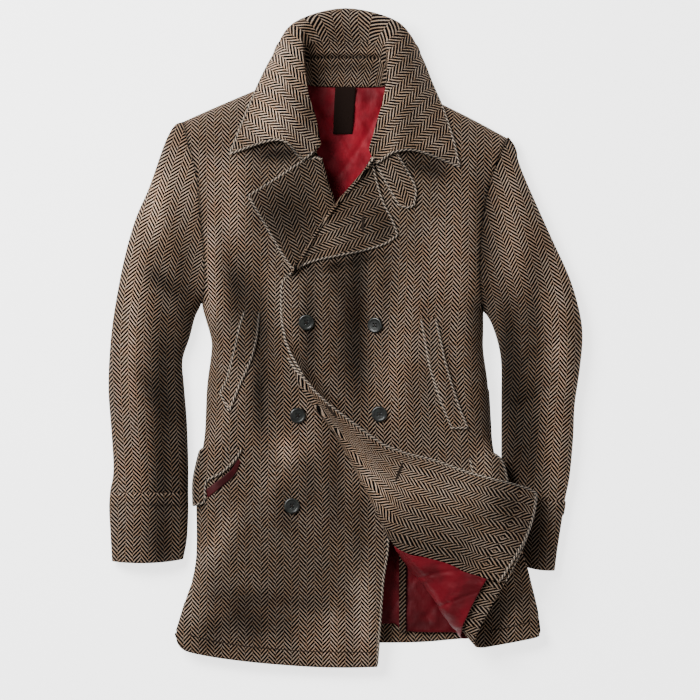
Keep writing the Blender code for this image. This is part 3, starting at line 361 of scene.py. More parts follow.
def sleeveTop(s, x, y):
    edge = rounded(distanceTo(sleeveEdges[s], x, y), heights["sideRound"])
    sleeve = tableAt(heights["sleeveCrown"], y)
    height = sleeve + (fullHeight(x, y) - sleeve) * smooth(y, *heights["sleeveJoins"])
    relief = rise(folds + creases, x, y) + ripple(x, y)
    return heights["seam"] + (height - heights["seam"] + relief) * edge


def sleeveUnder(s, x, y):
    edge = rounded(distanceTo(sleeveEdges[s], x, y), heights["underRound"])
    return heights["seam"] * (1 - edge)


overlap = {"ends": (70.0, 150.0), "lapelAcross": (10.0, 70.0), "lapelStart": (470.0, 510.0),
           "lapelEnd": (690.0, 750.0)}


def overHeight(x, y):
    over = gaps["overFront"] * (1 - smooth(x, *overlap["ends"]))
    lapel = (smooth(y, *overlap["lapelStart"]) * (1 - smooth(y, *overlap["lapelEnd"]))
             * (1 - smooth(x, *overlap["lapelAcross"])))
    return bodyTop(x, y) + gaps["front"] + over + gaps["overLapel"] * lapel


# The corner of the front that is turned back.

turned = {
    "foldLine": [(-128, 520), (-86, 452), (-58, 406), (-29, 356), (6, 291), (37, 230),
                 (54, 193), (66, 174), (92, 137), (120, 101), (135, 77), (155, 52),
                 (178, 25), (196, 0)],
    # height of a point on the flat front edge, and its place once turned back
    "edge": [(462, -85, 462), (440, -77, 441), (400, -58, 406), (378, -45, 389),
             (351, -26, 370), (323, -3, 353), (283, 29, 329), (253, 54, 312),
             (218, 86, 300), (176, 127, 290), (126, 174, 273), (88, 211, 263),
             (43, 254, 251), (28, 268, 244)],
    "roll": 16.0, "rest": 10.0, "belly": 11.0, "bellyEnds": (28.0, 190.0),
    "bellyWay": (0.9, -0.4), "starts": 462.0, "pulled": (0.15, 1.0),
    "ontoGround": (-20.0, 90.0), "settle": 70.0,
    "slopeSpan": 14.0, "gridX": (-100.0, 360.0), "gridY": (-20.0, 500.0), "cell": 8.0,
    "bridged": 2, "smoothed": 10,
}
foldLine = curve(turned["foldLine"])
turnedCloth = 2 * cloth["wool"] + gaps["turned"]
frontEdgeOver = [(-80, 550), (-88, 540), (-90, 524), (-90, 498), (-87, 462), (-85, 403),
                 (-83, 291), (-80, 151), (-76, 29)]


def makeGround():       # what the corner comes down on, its hollows bridged
    xs = np.arange(*turned["gridX"], turned["cell"])
    ys = np.arange(*turned["gridY"], turned["cell"])
    x, y = np.meshgrid(xs, ys)
    height = np.where(x < xAt(side["right"], y), overHeight(x, y), 0)
    onSleeve = (x > xAt(inner["right"], y)) & (x < xAt(outer["right"], y))
    height = np.maximum(height, np.where(onSleeve, sleeveTop("right", x, y), 0))
    for grow in [True] * turned["bridged"] + [False] * turned["smoothed"]:
        for axis in (0, 1):
            edge = np.pad(height, [(1, 1) if k == axis else (0, 0) for k in (0, 1)], "edge")
            before, after = np.delete(edge, [-1, -2], axis), np.delete(edge, [0, 1], axis)
            height = (np.maximum(height, np.maximum(before, after)) if grow
                      else (before + 2 * height + after) / 4)
    return height


ground = makeGround()


def groundAt(x, y):
    column = np.clip((x - turned["gridX"][0]) / turned["cell"], 0, ground.shape[1] - 1.001)
    row = np.clip((y - turned["gridY"][0]) / turned["cell"], 0, ground.shape[0] - 1.001)
    i, j = row.astype(int), column.astype(int)
    a, b = row - i, column - j
    low = ground[i, j] * (1 - b) + ground[i, j + 1] * b
    high = ground[i + 1, j] * (1 - b) + ground[i + 1, j + 1] * b
    return low * (1 - a) + high * a


def turnOver(x, y):     # place and lift of a pattern point, rolled over the fold line
    span, roll = turned["slopeSpan"], turned["roll"]
    slope = (xAt(foldLine, y - span) - xAt(foldLine, y + span)) / (2 * span)
    length = np.hypot(slope, 1)
    tx, ty = slope / length, -1 / length
    foldX = xAt(foldLine, y) + turnedCloth * length
    past = foldX - x
    perpendicular, parallel = past / length, past * tx
    q = perpendicular + roll
    angle = np.clip(q / roll, 0, pi)
    flat = np.maximum(q - pi * roll, 0)
    lateral = np.where(q > 0, -roll + roll * np.sin(angle) - flat, perpendicular)
    return (foldX - parallel * tx + lateral * ty, y - parallel * ty - lateral * tx,
            roll * (1 - np.cos(angle)), flat)


def overFront(x, y):
    x, y = np.broadcast_arrays(np.asarray(x, float), np.asarray(y, float))
    px, py, lift, flat = turnOver(x, y)
    edges = np.array(turned["edge"][::-1], float)
    edgeX = xAt(curve(frontEdgeOver), y)
    ex, ey = turnOver(edgeX, y)[:2]
    goalX = np.interp(y, edges[:, 0], edges[:, 1])
    goalY = np.interp(y, edges[:, 0], edges[:, 2])
    fold = xAt(foldLine, y) + turned["roll"]
    share = np.clip((fold - x) / np.maximum(fold - edgeX, 1), 0, 1)
    pull = smooth(share, *turned["pulled"]) * (y < turned["starts"])
    belly = turned["belly"] * np.sin(pi * share) * (1 - smooth(y, *turned["bellyEnds"]))
    px = px + pull * (goalX - ex) + belly * turned["bellyWay"][0]
    py = py + pull * (goalY - ey) + belly * turned["bellyWay"][1]
    over = smooth(flat, *turned["ontoGround"])
    base = overHeight(px, py) * (1 - over) + groundAt(px, py) * over
    settle = np.exp(-(flat / turned["settle"]) ** 2)
    rest = turned["rest"] + (2 * turned["roll"] - turned["rest"]) * settle
    return np.stack([px, py, base + np.where(flat > 0, rest, lift)], -1)


def underFront(x, y):
    return np.stack([x, y, bodyTop(x, y) + gaps["front"]], -1)


def movedOut(surface, x, y, amount):
    step = 0.5
    normal = np.cross(surface(x + step, y) - surface(x - step, y),
                      surface(x, y + step) - surface(x, y - step))
    normal /= np.linalg.norm(normal, axis=-1, keepdims=True)
    return surface(x, y) + normal * np.asarray(amount)[..., None]


# Finishes.

class Wire:     # a socket that can be added, multiplied and compared
    def __init__(self, finish, socket):
        self.finish, self.socket = finish, socket

    def math(self, operation, other=None, swap=False):
        first, second = (other, self) if swap else (self, other)
        inputs = {0: first} if second is None else {0: first, 1: second}
        return self.finish.node("ShaderNodeMath", {"operation": operation}, inputs)

    def __add__(self, other):
        return self.math("ADD", other)

    def __mul__(self, other):
        return self.math("MULTIPLY", other)

    def __sub__(self, other):
        return self.math("SUBTRACT", other)

    def __rsub__(self, other):
        return self.math("SUBTRACT", other, swap=True)

    def __truediv__(self, other):
        return self.math("DIVIDE", other)

    def __rtruediv__(self, other):
        return self.math("DIVIDE", other, swap=True)

    __radd__, __rmul__ = __add__, __mul__

    def step(self, low, high):      # 0 below low, 1 above high, soft between
        return self.finish.node("ShaderNodeMapRange", {"interpolation_type": "SMOOTHSTEP"},
                                {"Value": self, "From Min": low, "From Max": high})


class Finish:   # a material with its Principled shader, and the nodes made for it
    def __init__(self, name, **constants):
        self.material = bpy.data.materials.new(name)
        self.material.use_nodes = True
        self.tree = self.material.node_tree
        self.shader = self.tree.nodes["Principled BSDF"]
        for key, value in constants.items():
            self.shader.inputs[key.replace("_", " ")].default_value = value

    def node(self, kind, settings=None, inputs=None, output=0):
        made = self.tree.nodes.new(kind)
        for key, value in (settings or {}).items():
            setattr(made, key, value)
        for key, value in (inputs or {}).items():
            if isinstance(value, Wire):
                self.tree.links.new(value.socket, made.inputs[key])
            else:
                made.inputs[key].default_value = value
        return Wire(self, made.outputs[output])

    def grain(self, stretch=(1, 1, 1)):     # place on the cut cloth, in metres
        place = self.node("ShaderNodeUVMap", {"uv_map": "grain"})
        return self.node("ShaderNodeVectorMath", {"operation": "MULTIPLY"},
                         {0: place, 1: stretch})

    def parts(self, vector):    # across and along
        across = self.node("ShaderNodeSeparateXYZ", inputs={0: vector})
        return across, Wire(self, across.socket.node.outputs[1])

    def noise(self, vector, scale, detail=2.0, roughness=0.5):
        return self.node("ShaderNodeTexNoise", {"noise_dimensions": "2D"},
                         {"Vector": vector, "Scale": scale, "Detail": detail,
                          "Roughness": roughness})

    def mix(self, share, first, second):
        return self.node("ShaderNodeMix", {"data_type": "RGBA"},
                         {0: share, 6: first, 7: second}, 2)

    def nap(self):      # the painted light and painted shade worked out for each point
        return self.node("ShaderNodeAttribute", {"attribute_name": "nap"}, output=2)

    def scaled(self, colour, amount):
        return self.node("ShaderNodeVectorMath", {"operation": "SCALE"},
                         {0: colour, "Scale": amount})

    def set(self, **wires):
        for key, value in wires.items():
            self.tree.links.new(value.socket, self.shader.inputs[key.replace("_", " ")])

    def bump(self, height, distance):
        self.set(Normal=self.node("ShaderNodeBump", None,
                                  {"Height": height, "Distance": distance, "Strength": 1.0}))


tweed = {
    "column": 0.0108, "pitch": 0.0059, "slope": 1.1, "wander": 0.0012, "relief": 0.0002,
    "dark": (0.0008, 0.0006, 0.0006, 1), "cream": (0.245, 0.184, 0.138, 1),
    "gold": (0.222, 0.143, 0.092, 1), "paleFrom": (0.25, 0.75), "goldFrom": (0.38, 0.62),
    # how fine the noises are, per metre, and how strong
    "bends": (34.0, 41.0), "yarn": 620.0, "speckle": 1.4, "patch": 150.0, "patchy": 0.5,
    "tints": ((190.0, 0.6), (30.0, 0.4)),
}


def makeTweed():
    f = Finish("tweed", Roughness=0.95, Sheen_Weight=0.01, Sheen_Roughness=0.5)
    f.shader.inputs["Sheen Tint"].default_value = (0.8, 0.65, 0.5, 1)
    f.shader.inputs["Specular IOR Level"].default_value = 0.05
    place = f.grain()
    u, v = f.parts(place)
    acrossBend, alongBend = tweed["bends"]
    u = u + (f.noise(place, acrossBend) - 0.5) * tweed["wander"]
    v = v + (f.noise(f.grain((1, 1.3, 1)), alongBend) - 0.5) * tweed["wander"]
    column = u / tweed["column"]
    zigzag = column.math("PINGPONG", 1.0)
    odd = column.math("FLOOR").math("FLOORED_MODULO", 2.0)
    climb = tweed["slope"] * tweed["column"] / tweed["pitch"]
    phase = v / tweed["pitch"] + zigzag * climb + odd * 0.5     # half a pitch on, each column
    stripe = (phase * (2 * pi)).math("COSINE")
    yarn = f.noise(place, tweed["yarn"], 3.0, 0.7) - 0.5
    patchy = f.noise(place, tweed["patch"]) - 0.5
    light = (stripe + yarn * tweed["speckle"] + patchy * tweed["patchy"]).step(*tweed["paleFrom"])
    fine, broad = (f.noise(place, scale) * share for scale, share in tweed["tints"])
    pale = f.mix((fine + broad).step(*tweed["goldFrom"]), tweed["cream"], tweed["gold"])
    # the weave's colours scaled by the painted light and painted shade of each point
    f.set(Base_Color=f.scaled(f.mix(light, tweed["dark"], pale), f.nap()))
    f.bump(light * 0.6 + yarn, tweed["relief"])
    return f.material


edging = {"pitch": 0.0062, "lean": 170.0, "dark": (0.001, 0.0007, 0.0006, 1),
          "pale": (0.33, 0.255, 0.19, 1), "yarn": 500.0, "speckle": 0.9, "relief": 0.0005}


def makeEdging():       # the rope of slanting yarns along a turned and stitched edge
    f = Finish("edging", Roughness=0.9, Sheen_Weight=0.01)
    place = f.grain()
    u, v = f.parts(place)
    stripe = ((v / edging["pitch"] + u * edging["lean"]) * (2 * pi)).math("COSINE")
    yarn = f.noise(place, edging["yarn"]) - 0.5
    light = (stripe + yarn * edging["speckle"]).step(0.0, 0.5)
    # the rope's colours scaled by the painted light and painted shade of each point
    f.set(Base_Color=f.scaled(f.mix(light, edging["dark"], edging["pale"]), f.nap()))
    f.bump(light + yarn, edging["relief"])
    return f.material


satin = {"red": (0.115, 0.0026, 0.0075, 1), "deep": (0.065, 0.0014, 0.0042, 1),
         "cloud": 28.0, "crumple": 48.0, "relief": 0.0018}


def makeSatin():
    f = Finish("satin", Roughness=0.55)
    f.shader.inputs["Specular IOR Level"].default_value = 0.13
    place = f.grain()
    tint = f.noise(place, satin["cloud"], 3.0).step(0.35, 0.7)
    # the satin's colours scaled by the painted light and painted shade of each point
    f.set(Base_Color=f.scaled(f.mix(tint, satin["red"], satin["deep"]), f.nap()))
    f.bump(f.noise(f.grain((1, 0.6, 1)), satin["crumple"], 3.0), satin["relief"])
    return f.material


horn = {"dark": (0.002, 0.0025, 0.002, 1), "pale": (0.009, 0.012, 0.009, 1), "cloud": 160.0,
        "gloss": 0.26, "uneven": 0.2}


def makeHorn():
    f = Finish("horn", Roughness=0.3, Coat_Weight=0.2, Coat_Roughness=0.2)
    place = f.node("ShaderNodeTexCoord", output=3)
    cloud = f.node("ShaderNodeTexNoise", None,
                   {"Vector": place, "Scale": horn["cloud"], "Detail": 3.0})
    f.set(Base_Color=f.mix(cloud.step(0.4, 0.75), horn["dark"], horn["pale"]),
          Roughness=cloud * horn["uneven"] + horn["gloss"])
    return f.material


strip = {"dark": (0.004, 0.002, 0.0015, 1), "pale": (0.013, 0.0065, 0.0045, 1), "weave": 700.0,
         "relief": 0.0004}


def makeStrip():
    f = Finish("strip", Roughness=0.9)
    f.shader.inputs["Specular IOR Level"].default_value = 0.08
    weave = f.noise(f.grain((1, 3, 1)), strip["weave"])
    f.set(Base_Color=f.mix(weave, strip["dark"], strip["pale"]))
    f.bump(weave, strip["relief"])
    return f.material


thread = {"dark": (0.006, 0.004, 0.003, 1), "pale": (0.03, 0.02, 0.014, 1), "ply": 900.0}


def makeThread():
    f = Finish("thread", Roughness=0.8)
    f.shader.inputs["Specular IOR Level"].default_value = 0.1
    place = f.node("ShaderNodeTexCoord", output=3)
    ply = f.node("ShaderNodeTexNoise", None, {"Vector": place, "Scale": thread["ply"]})
    f.set(Base_Color=f.mix(ply, thread["dark"], thread["pale"]))
    return f.material


finishes = {"tweed": makeTweed(), "edging": makeEdging(), "satin": makeSatin(),
            "horn": makeHorn(), "strip": makeStrip(), "thread": makeThread()}
print("finishes")


# From grids to cloth.

root = "root"
trees = {}          # finished pieces, for laying others on them


def meshPiece(name, points, faces, finish, uvs, uvFaces):
    flat = np.asarray(points, float).reshape(-1, 3) - (*middle, 0)
    mesh = bpy.data.meshes.new(name)
    mesh.from_pydata((flat * mm).tolist(), [], [list(map(int, corners)) for corners in faces])
    layer = mesh.uv_layers.new(name="grain")
    order = np.concatenate([np.asarray(corners) for corners in uvFaces])
    places = np.asarray(uvs, float)[order] * mm
    layer.data.foreach_set("uv", places.astype(np.float32).ravel())
    # painted light and painted shade for each point, as a factor the finishes put on their colour
    nap = mesh.attributes.new("nap", "FLOAT", "POINT")
    at = np.asarray(points, float).reshape(-1, 3)
    nap.data.foreach_set("value", paintedShadeAt(name, at[:, 0], at[:, 1]).astype(np.float32))
    mesh.materials.append(finishes[finish])
    mesh.shade_smooth()
    piece = bpy.data.objects.new(name, mesh)
    bpy.context.scene.collection.objects.link(piece)
    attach(piece, root)
    return piece


def normalsOf(face, ring=False):
    across = np.gradient(face, axis=1)
    if ring:
        across = np.roll(face, -1, 1) - np.roll(face, 1, 1)
    normal = np.cross(np.gradient(face, axis=0), across)
    return normal / (np.linalg.norm(normal, axis=-1, keepdims=True) + 1e-12)


def quads(index):
    corners = index[:-1, :-1], index[1:, :-1], index[1:, 1:], index[:-1, 1:]
    return np.stack(corners, -1).reshape(-1, 4)


def strips(a, b):       # quads between two rows of indices
    return np.stack([a[:-1], a[1:], b[1:], b[:-1]], -1)


def unit(v):
    return v / (np.linalg.norm(v, axis=-1, keepdims=True) + 1e-12)


def stretched(face, grain):     # real length over the grain's own, for neighbouring points
    real = np.linalg.norm(np.diff(face, axis=0), axis=-1)
    plan = np.linalg.norm(np.diff(grain, axis=0), axis=-1)
    return np.clip(real / (plan + 1e-9), 1, 2.5)


def measured(face, grain):      # lets the grain follow the cloth's real length down its sides
    out, half = grain.copy(), face.shape[1] // 2
    across = np.diff(grain[..., 0], axis=1)
    across = across * stretched(face.swapaxes(0, 1), grain.swapaxes(0, 1)).T
    total = np.insert(np.cumsum(across, axis=1), 0, 0, axis=1)
    out[..., 0] = total - (total - grain[..., 0])[:, half:half + 1]
    more = np.diff(grain[:, half, 1]) * (stretched(face[:, half], grain[:, half]) - 1)
    more = np.insert(np.cumsum(more), 0, 0)
    out[..., 1] += (more - more[len(more) // 2])[:, None]
    return out


def borderOf(grid, which):
    if which == "last":
        return grid[:, -1]
    if which == "around":
        return np.vstack([grid[0], grid[1:, -1], grid[-1, -2::-1]])
    if which == "corner":
        return np.vstack([grid[:, 0], grid[-1, 1:]])
    return np.vstack([grid[:, 0], grid[-1, 1:], grid[-2::-1, -1]])


rope = {"radius": 1.75, "sides": 10, "step": 1.3, "lift": 0.55, "taper": 4, "tip": 0.05}


# A tube along a line of points, from and to the points of its plan that are nearest to ends,
# or from and to two shares of its length.
def edgeRope(name, line, normal, plan=None, ends=None, radius=rope["radius"], finish="edging"):
    share = lengths(line) / lengths(line)[-1]
    part = (0, 1)
    if ends and np.ndim(ends) == 1:
        part = ends
    elif ends:
        part = [share[np.argmin(np.hypot(*(plan - end).T))] for end in ends]
    count = int(lengths(line)[-1] * (part[1] - part[0]) / rope["step"])
    at = np.linspace(*part, count)
    line = along(line, at)
    normal = unit(np.stack([np.interp(at, share, normal[:, k]) for k in range(3)], -1))
    run = unit(np.gradient(line, axis=0))
    beside = unit(np.cross(run, normal))
    normal = np.cross(beside, run)
    line = line + normal * rope["lift"]
    turn = 2 * pi * np.arange(rope["sides"]) / rope["sides"]
    taper = np.arange(count).clip(0, rope["taper"]) / rope["taper"]
    thick = radius * np.minimum(1, np.sqrt(taper + rope["tip"]))
    thick = np.minimum(thick, thick[::-1])[:, None, None]
    points = line[:, None] + thick * (normal[:, None] * np.cos(turn)[:, None]
                                      + beside[:, None] * np.sin(turn)[:, None])
    index = np.arange(points.shape[0] * rope["sides"]).reshape(-1, rope["sides"])
    caps = [index[0, ::-1].tolist(), index[-1].tolist()]
    index = np.hstack([index, index[:, :1]])
    uvIndex = np.arange(index.size).reshape(index.shape)
    v = np.broadcast_to(lengths(line)[:, None], index.shape)
    u = np.broadcast_to(np.r_[turn, 2 * pi] * radius, index.shape)
    faces = quads(index)[:, ::-1].tolist() + caps
    uvFaces = (quads(uvIndex)[:, ::-1].tolist()
               + [uvIndex[0, -2::-1].tolist(), uvIndex[-1, :-1].tolist()])
    return meshPiece(name, points, faces, finish, np.stack([u, v], -1).reshape(-1, 2), uvFaces)


def cutSize(grain):     # width and length in metres of the smallest rectangle it is cut from
    best = None
    for angle in np.radians(np.arange(-44, 45, 4)):
        turn = np.array([[cos(angle), -sin(angle)], [sin(angle), cos(angle)]])
        size = np.ptp(grain.reshape(-1, 2) @ turn, axis=0)
        if best is None or size.prod() < best.prod():
            best = size
    return tuple(max(round(float(side) * mm, 3), 0.01) for side in best)


rimOut = 0.45       # how far an edge of cloth rounds out, as a share of its thickness


# A wall of cloth behind a grid of points on its outer face, with a rounded rim. side is 1
# where rows run down and columns to the right on the outer face. grain is the cut's own
# plan in mm, which the weave follows.
def shell(name, face, thick, finish, node=None, side=1, ring=False, grain=None,
          edge=None, edgeEnds=None, follow=True):
    rows, columns = face.shape[:2]
    normal = normalsOf(face, ring) * side
    behind = face - normal * thick
    count = rows * columns
    index = np.arange(count).reshape(rows, columns)
    grain = face[..., :2] if grain is None else grain
    plan = grain
    if follow and not ring:
        grain = measured(face, grain)
    if ring:        # grain has one column more, where the tube closes
        uvIndex = np.arange(rows * (columns + 1)).reshape(rows, columns + 1)
        index = np.hstack([index, index[:, :1]])
        loops = [(index[0], uvIndex[0], face[0] - face[1]),
                 (index[-1, ::-1], uvIndex[-1, ::-1], (face[-1] - face[-2])[::-1])]
        loops = [(a, b, np.vstack([c, c[:1]])) for a, b, c in loops]
    else:
        uvIndex = index
        pick = np.r_[index[0], index[1:, -1], index[-1, -2::-1], index[-2::-1, 0]]
        out = np.zeros_like(face)
        out[0] += unit(face[0] - face[1])
        out[-1] += unit(face[-1] - face[-2])
        out[:, 0] += unit(face[:, 0] - face[:, 1])
        out[:, -1] += unit(face[:, -1] - face[:, -2])
        loops = [(pick, pick, out.reshape(-1, 3)[pick])]
    points = [face.reshape(-1, 3), behind.reshape(-1, 3)]
    faces = [quads(index), quads(index)[:, ::-1] + count]
    uvFaces = [quads(uvIndex), quads(uvIndex)[:, ::-1]]
    total = 2 * count
    for line, uvLine, out in loops:
        halfway = (points[0][line % count] + points[1][line % count]) / 2
        rim = np.r_[total + np.arange(len(line) - 1), total]
        points.append((halfway + unit(out) * thick * rimOut)[:-1])
        total += len(line) - 1
        faces += [strips(line, rim), strips(rim, line + count)]
        uvFaces += [strips(uvLine, uvLine)] * 2
    faces, uvFaces = np.vstack(faces), np.vstack(uvFaces)
    if side < 0:
        faces, uvFaces = faces[:, ::-1], uvFaces[:, ::-1]
    piece = meshPiece(name, np.vstack(points), faces, finish, grain.reshape(-1, 2), uvFaces)
    trees[name] = BVHTree.FromPolygons((np.vstack(points)).tolist(), faces.tolist())
    if node:
        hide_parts(node)
    if edge:
        edgeRope(name + "Edge", borderOf((face + behind) / 2, edge),
                             borderOf(normal, edge), borderOf(plan, edge), edgeEnds)
    loop = np.hstack([face, face[:, :1]]) if ring else face
    crossed = np.cross(loop[1:, 1:] - loop[:-1, :-1], loop[1:, :-1] - loop[:-1, 1:])
    flat = cutSize(grain)
    return piece


def topOf(names, x, y, ceiling=400.0):
    height = np.zeros(np.shape(x))
    ceiling = np.broadcast_to(ceiling, height.shape)
    for name in names:
        tree = trees[name]
        for i in np.ndindex(height.shape):
            hit = tree.ray_cast(Vector((x[i], y[i], ceiling[i])), Vector((0, 0, -1)))[0]
            if hit:
                height[i] = max(height[i], hit.z)
    return height


def laidOn(names, x, y, thick, ceiling=400.0):
    return np.stack([x, y, topOf(names, x, y, ceiling) + gaps["lay"] + thick], -1)


def toTheRight(line):
    run = unit(np.gradient(line, axis=0))
    return np.stack([-run[:, 1], run[:, 0]], -1)


# Back, in two panels with a seam down the middle.

backCut = {
    "centre": [(0, 819), (2, 600), (8, 300), (14, 36)],
    "neckLeft": [(-68, 833), (-48, 825), (-24, 820), (-1, 819)],
    "neckRight": [(68, 823), (50, 820), (24, 819), (0, 819)],
    "hemLeft": [(-237, 52), (-228, 40), (-134, 34), (-40, 34), (14, 36)],
    "hemRight": [(271, 55), (262, 47), (164, 42), (102, 37), (14, 36)],
    "halfGap": 0.3, "rows": 160, "columns": 62, "crowd": 1.7,
}


def makeBack():
    rows, columns = bothEnds(backCut["rows"], 0.4), spaced(backCut["columns"], backCut["crowd"])
    centre = curve(backCut["centre"])
    for s, way in (("left", -1), ("right", 1)):
        name = s.capitalize()
        x, y = patch(joined(armholeLines[s], sideLines[s]),
                     centre + np.array([way * backCut["halfGap"], 0]),
                     joined(shoulderLines[s][::-1], backCut["neck" + name]),
                     curve(backCut["hem" + name]), rows, columns)
        face = np.stack([x, y, bodyUnder(x, y)], -1)
        shell("back" + name, face, cloth["wool"], "tweed", "back_" + s, side=way,
              grain=np.stack([x, y], -1))


makeBack()
print("back")


# Inside of the back: lining, edge of the vent, strip at the neck.

insideCut = {
    "left": [(-58, 817), (-112, 760), (-158, 600), (-165, 400), (-170, 200), (-175, 63)],
    "right": [(58, 816), (110, 748), (150, 600), (160, 400), (162, 200), (176, 50)],
    "hem": [(-175, 63), (40, 63), (70, 62), (86, 52), (176, 50)],
    "vent": ([(76, 250), (76, 53)], [(84, 250), (84, 50)]),
    "strip": ([(-14, 813), (-17, 748)], [(14, 813), (9, 748)]),
    "sinks": (800.0, 815.0), "full": 3.4, "rows": 236, "columns": 114, "ventRows": 100,
    "stripRows": 30, "narrow": 12,
}
quilt = {"pitch": 46.0, "lean": 0.62, "depth": 1.1, "halfWidth": 3.2, "wander": 6.0, "wave": 47.0}


def quilted(x, y):      # diamonds sewn through the padding, low on their lines
    out = np.zeros(np.shape(x))
    for way in (-1, 1):
        bend = quilt["wander"] * np.sin(y / quilt["wave"] + way)
        across = (x * way * cos(quilt["lean"]) + y * sin(quilt["lean"]) + bend) / quilt["pitch"]
        off = np.abs(across - np.round(across)) * quilt["pitch"]
        out = out - quilt["depth"] * np.exp(-(off / quilt["halfWidth"]) ** 2)
    return out


def puckers(x, y):      # thin satin gathers beside its stitching
    return (0.45 * np.sin(x / 3.4 + 2.2 * np.sin(y / 19)) * np.sin(y / 11 + 1.7 * np.sin(x / 23))
            + 0.8 * np.sin((x + y) / 7.5 + 1.5 * np.sin(y / 29 + x / 37)))


def makeBackLining():
    top = np.array([insideCut["left"][0], insideCut["right"][0]], float)
    x, y = patch(curve(insideCut["left"]), curve(insideCut["right"]), top,
                 curve(insideCut["hem"]), spaced(insideCut["rows"]), spaced(insideCut["columns"]))
    face = laidOn(["backLeft", "backRight"], x, y, cloth["lining"])
    padding = insideCut["full"] + quilted(x, y) + puckers(x, y)
    face[..., 2] += padding * (1 - smooth(y, *insideCut["sinks"]))
    shell("backLining", face, cloth["lining"], "satin", "back_lining")
    for name, node, key, thick, finish in (
            ("ventEdge", "vent_edge", "vent", cloth["wool"], "tweed"),
            ("neckStrip", "neck_strip", "strip", cloth["lining"], "strip")):
        left, right = (np.array(line, float) for line in insideCut[key])
        x, y = patch(left, right, np.array([left[0], right[0]]), np.array([left[-1], right[-1]]),
                     spaced(insideCut[key + "Rows"]), spaced(insideCut["narrow"]))
        top = topOf(["backLining"], x, y)
        face = np.stack([x, y, np.full(x.shape, top.max()) + gaps["lay"] + thick], -1)
        shell(name, face, thick, finish, node)


makeBackLining()
print("inside of the back")


# Fronts and lapels.

frontCut = {
    "neckUnder": [(-68, 833), (-71, 802), (-61, 770), (-50, 742), (-41, 722)],
    "rollUnder": [(-35, 722), (-30, 705), (-22, 676), (-15, 655), (-11, 606), (-9, 557),
                  (-5, 515)],
    "edgeUnder": [(-5, 515), (9, 473), (27, 417), (43, 347), (54, 263), (60, 179), (53, 123),
                  (49, 69), (44, 2)],
    "hemUnder": [(-237, 52), (-236, 38), (-229, 28), (-216, 22), (-180, 15), (-134, 9),
                 (-90, 5), (-45, 2), (0, 1), (44, 2)],
    "neckOver": [(68, 823), (70, 795), (63, 767), (55, 742), (45, 722)],
    "rollOver": [(40, 722), (27, 700), (6, 675), (-12, 654), (-29, 631), (-44, 608), (-63, 573),
                 (-80, 550)],
    "hemOver": [(271, 55), (271, 49), (265, 43), (211, 32), (178, 28), (90, 25), (0, 26),
                (-76, 29)],
    "setBack": 5.6, "meets": (0.9, 1.0), "rows": 250, "columns": 96,
    # the part that rolls over, beside the fold line, and the cells before, in and after it
    "zone": (-52.0, 30.0), "cells": (34, 40, 36),
    "zoneStart": (0.12, 0.62), "zoneLeast": 0.16, "zoneEnd": 0.86, "zoneDrop": 0.3, "crowd": 1.6,
}
lapelCut = {
    "under": {"top": [(-57, 712), (-37, 715)], "side": [(-57, 712), (-96, 686), (-136, 661)],
              "low": [(-136, 661), (-108, 613), (-79, 566), (-43, 534), (-14, 522)],
              "radius": 3.4, "opens": -1, "on": ["frontUnder"]},
    "over": {"top": [(31, 703), (38, 704)],
             "side": [(38, 704), (47, 669), (55, 647), (66, 626), (73, 606)],
             "low": [(-80, 550), (-64, 562), (-41, 571), (-8, 578), (23, 584), (55, 594),
                     (73, 606)],
             "radius": 4.2, "opens": 1, "on": ["frontOver"]},
    "hook": (90, 75, 60, 45, 28, 10, -10, -30, -54, -78),   # degrees round the roll
    "fade": 13.0, "part": (0.045, 0.95), "rows": 90, "columns": 60,
}


def mirrored(x, y, line):       # pattern place of a point folded over a line
    start, end = line[0], line[-1]
    way = (end - start) / np.linalg.norm(end - start)
    dx, dy = x - start[0], y - start[1]
    t = dx * way[0] + dy * way[1]
    return np.stack([2 * (start[0] + t * way[0]) - x, 2 * (start[1] + t * way[1]) - y], -1)


def makeLapel(name, node, cut, roll):
    opens, radius = cut["opens"], cut["radius"]
    rows = spaced(lapelCut["rows"])
    first, last = lapelCut["part"]
    contour = along(roll, first + rows * (last - first))
    inward = toTheRight(contour) * opens
    start = contour + inward * radius
    sideLine = curve(cut["side"])
    left, right = (start, sideLine) if opens > 0 else (sideLine, start)
    x, y = patch(left, right, curve(cut["top"]), curve(cut["low"]), rows,
                 spaced(lapelCut["columns"]))
    if opens < 0:
        x, y = x[:, ::-1], y[:, ::-1]
    height = topOf(cut["on"], x, y)
    height = np.where(height > 0, height, height.max())
    gap = distanceTo([start], x, y)
    lying = gaps["lay"] + cloth["doubled"]
    lift = 2 * radius - cloth["wool"]
    z = height + lying + (lift - lying) * np.exp(-(gap / lapelCut["fade"]) ** 2)
    hook, hookGrain = [], []
    for angle in np.radians(lapelCut["hook"][:0:-1]):
        plan = contour + inward * radius * (1 - np.cos(angle))
        level = z[:, :1] - radius + radius * np.sin(angle)
        hook.append(np.hstack([plan, level])[:, None])
        back = contour + inward * (radius - radius * (pi / 2 - angle))
        hookGrain.append(mirrored(back[:, 0], back[:, 1], roll)[:, None])
    face = np.hstack(hook + [np.stack([x, y, z], -1)])
    grain = np.hstack(hookGrain + [mirrored(x, y, roll)])
    return shell(name, face, cloth["doubled"], "tweed", node, side=opens, grain=grain,
                 edge="around")


def setBack(roll):      # the front's own edge, inside the lapel's roll and meeting it below
    fade = 1 - smooth(lengths(roll) / lengths(roll)[-1], *frontCut["meets"])
    return toTheRight(roll) * frontCut["setBack"] * fade[:, None]


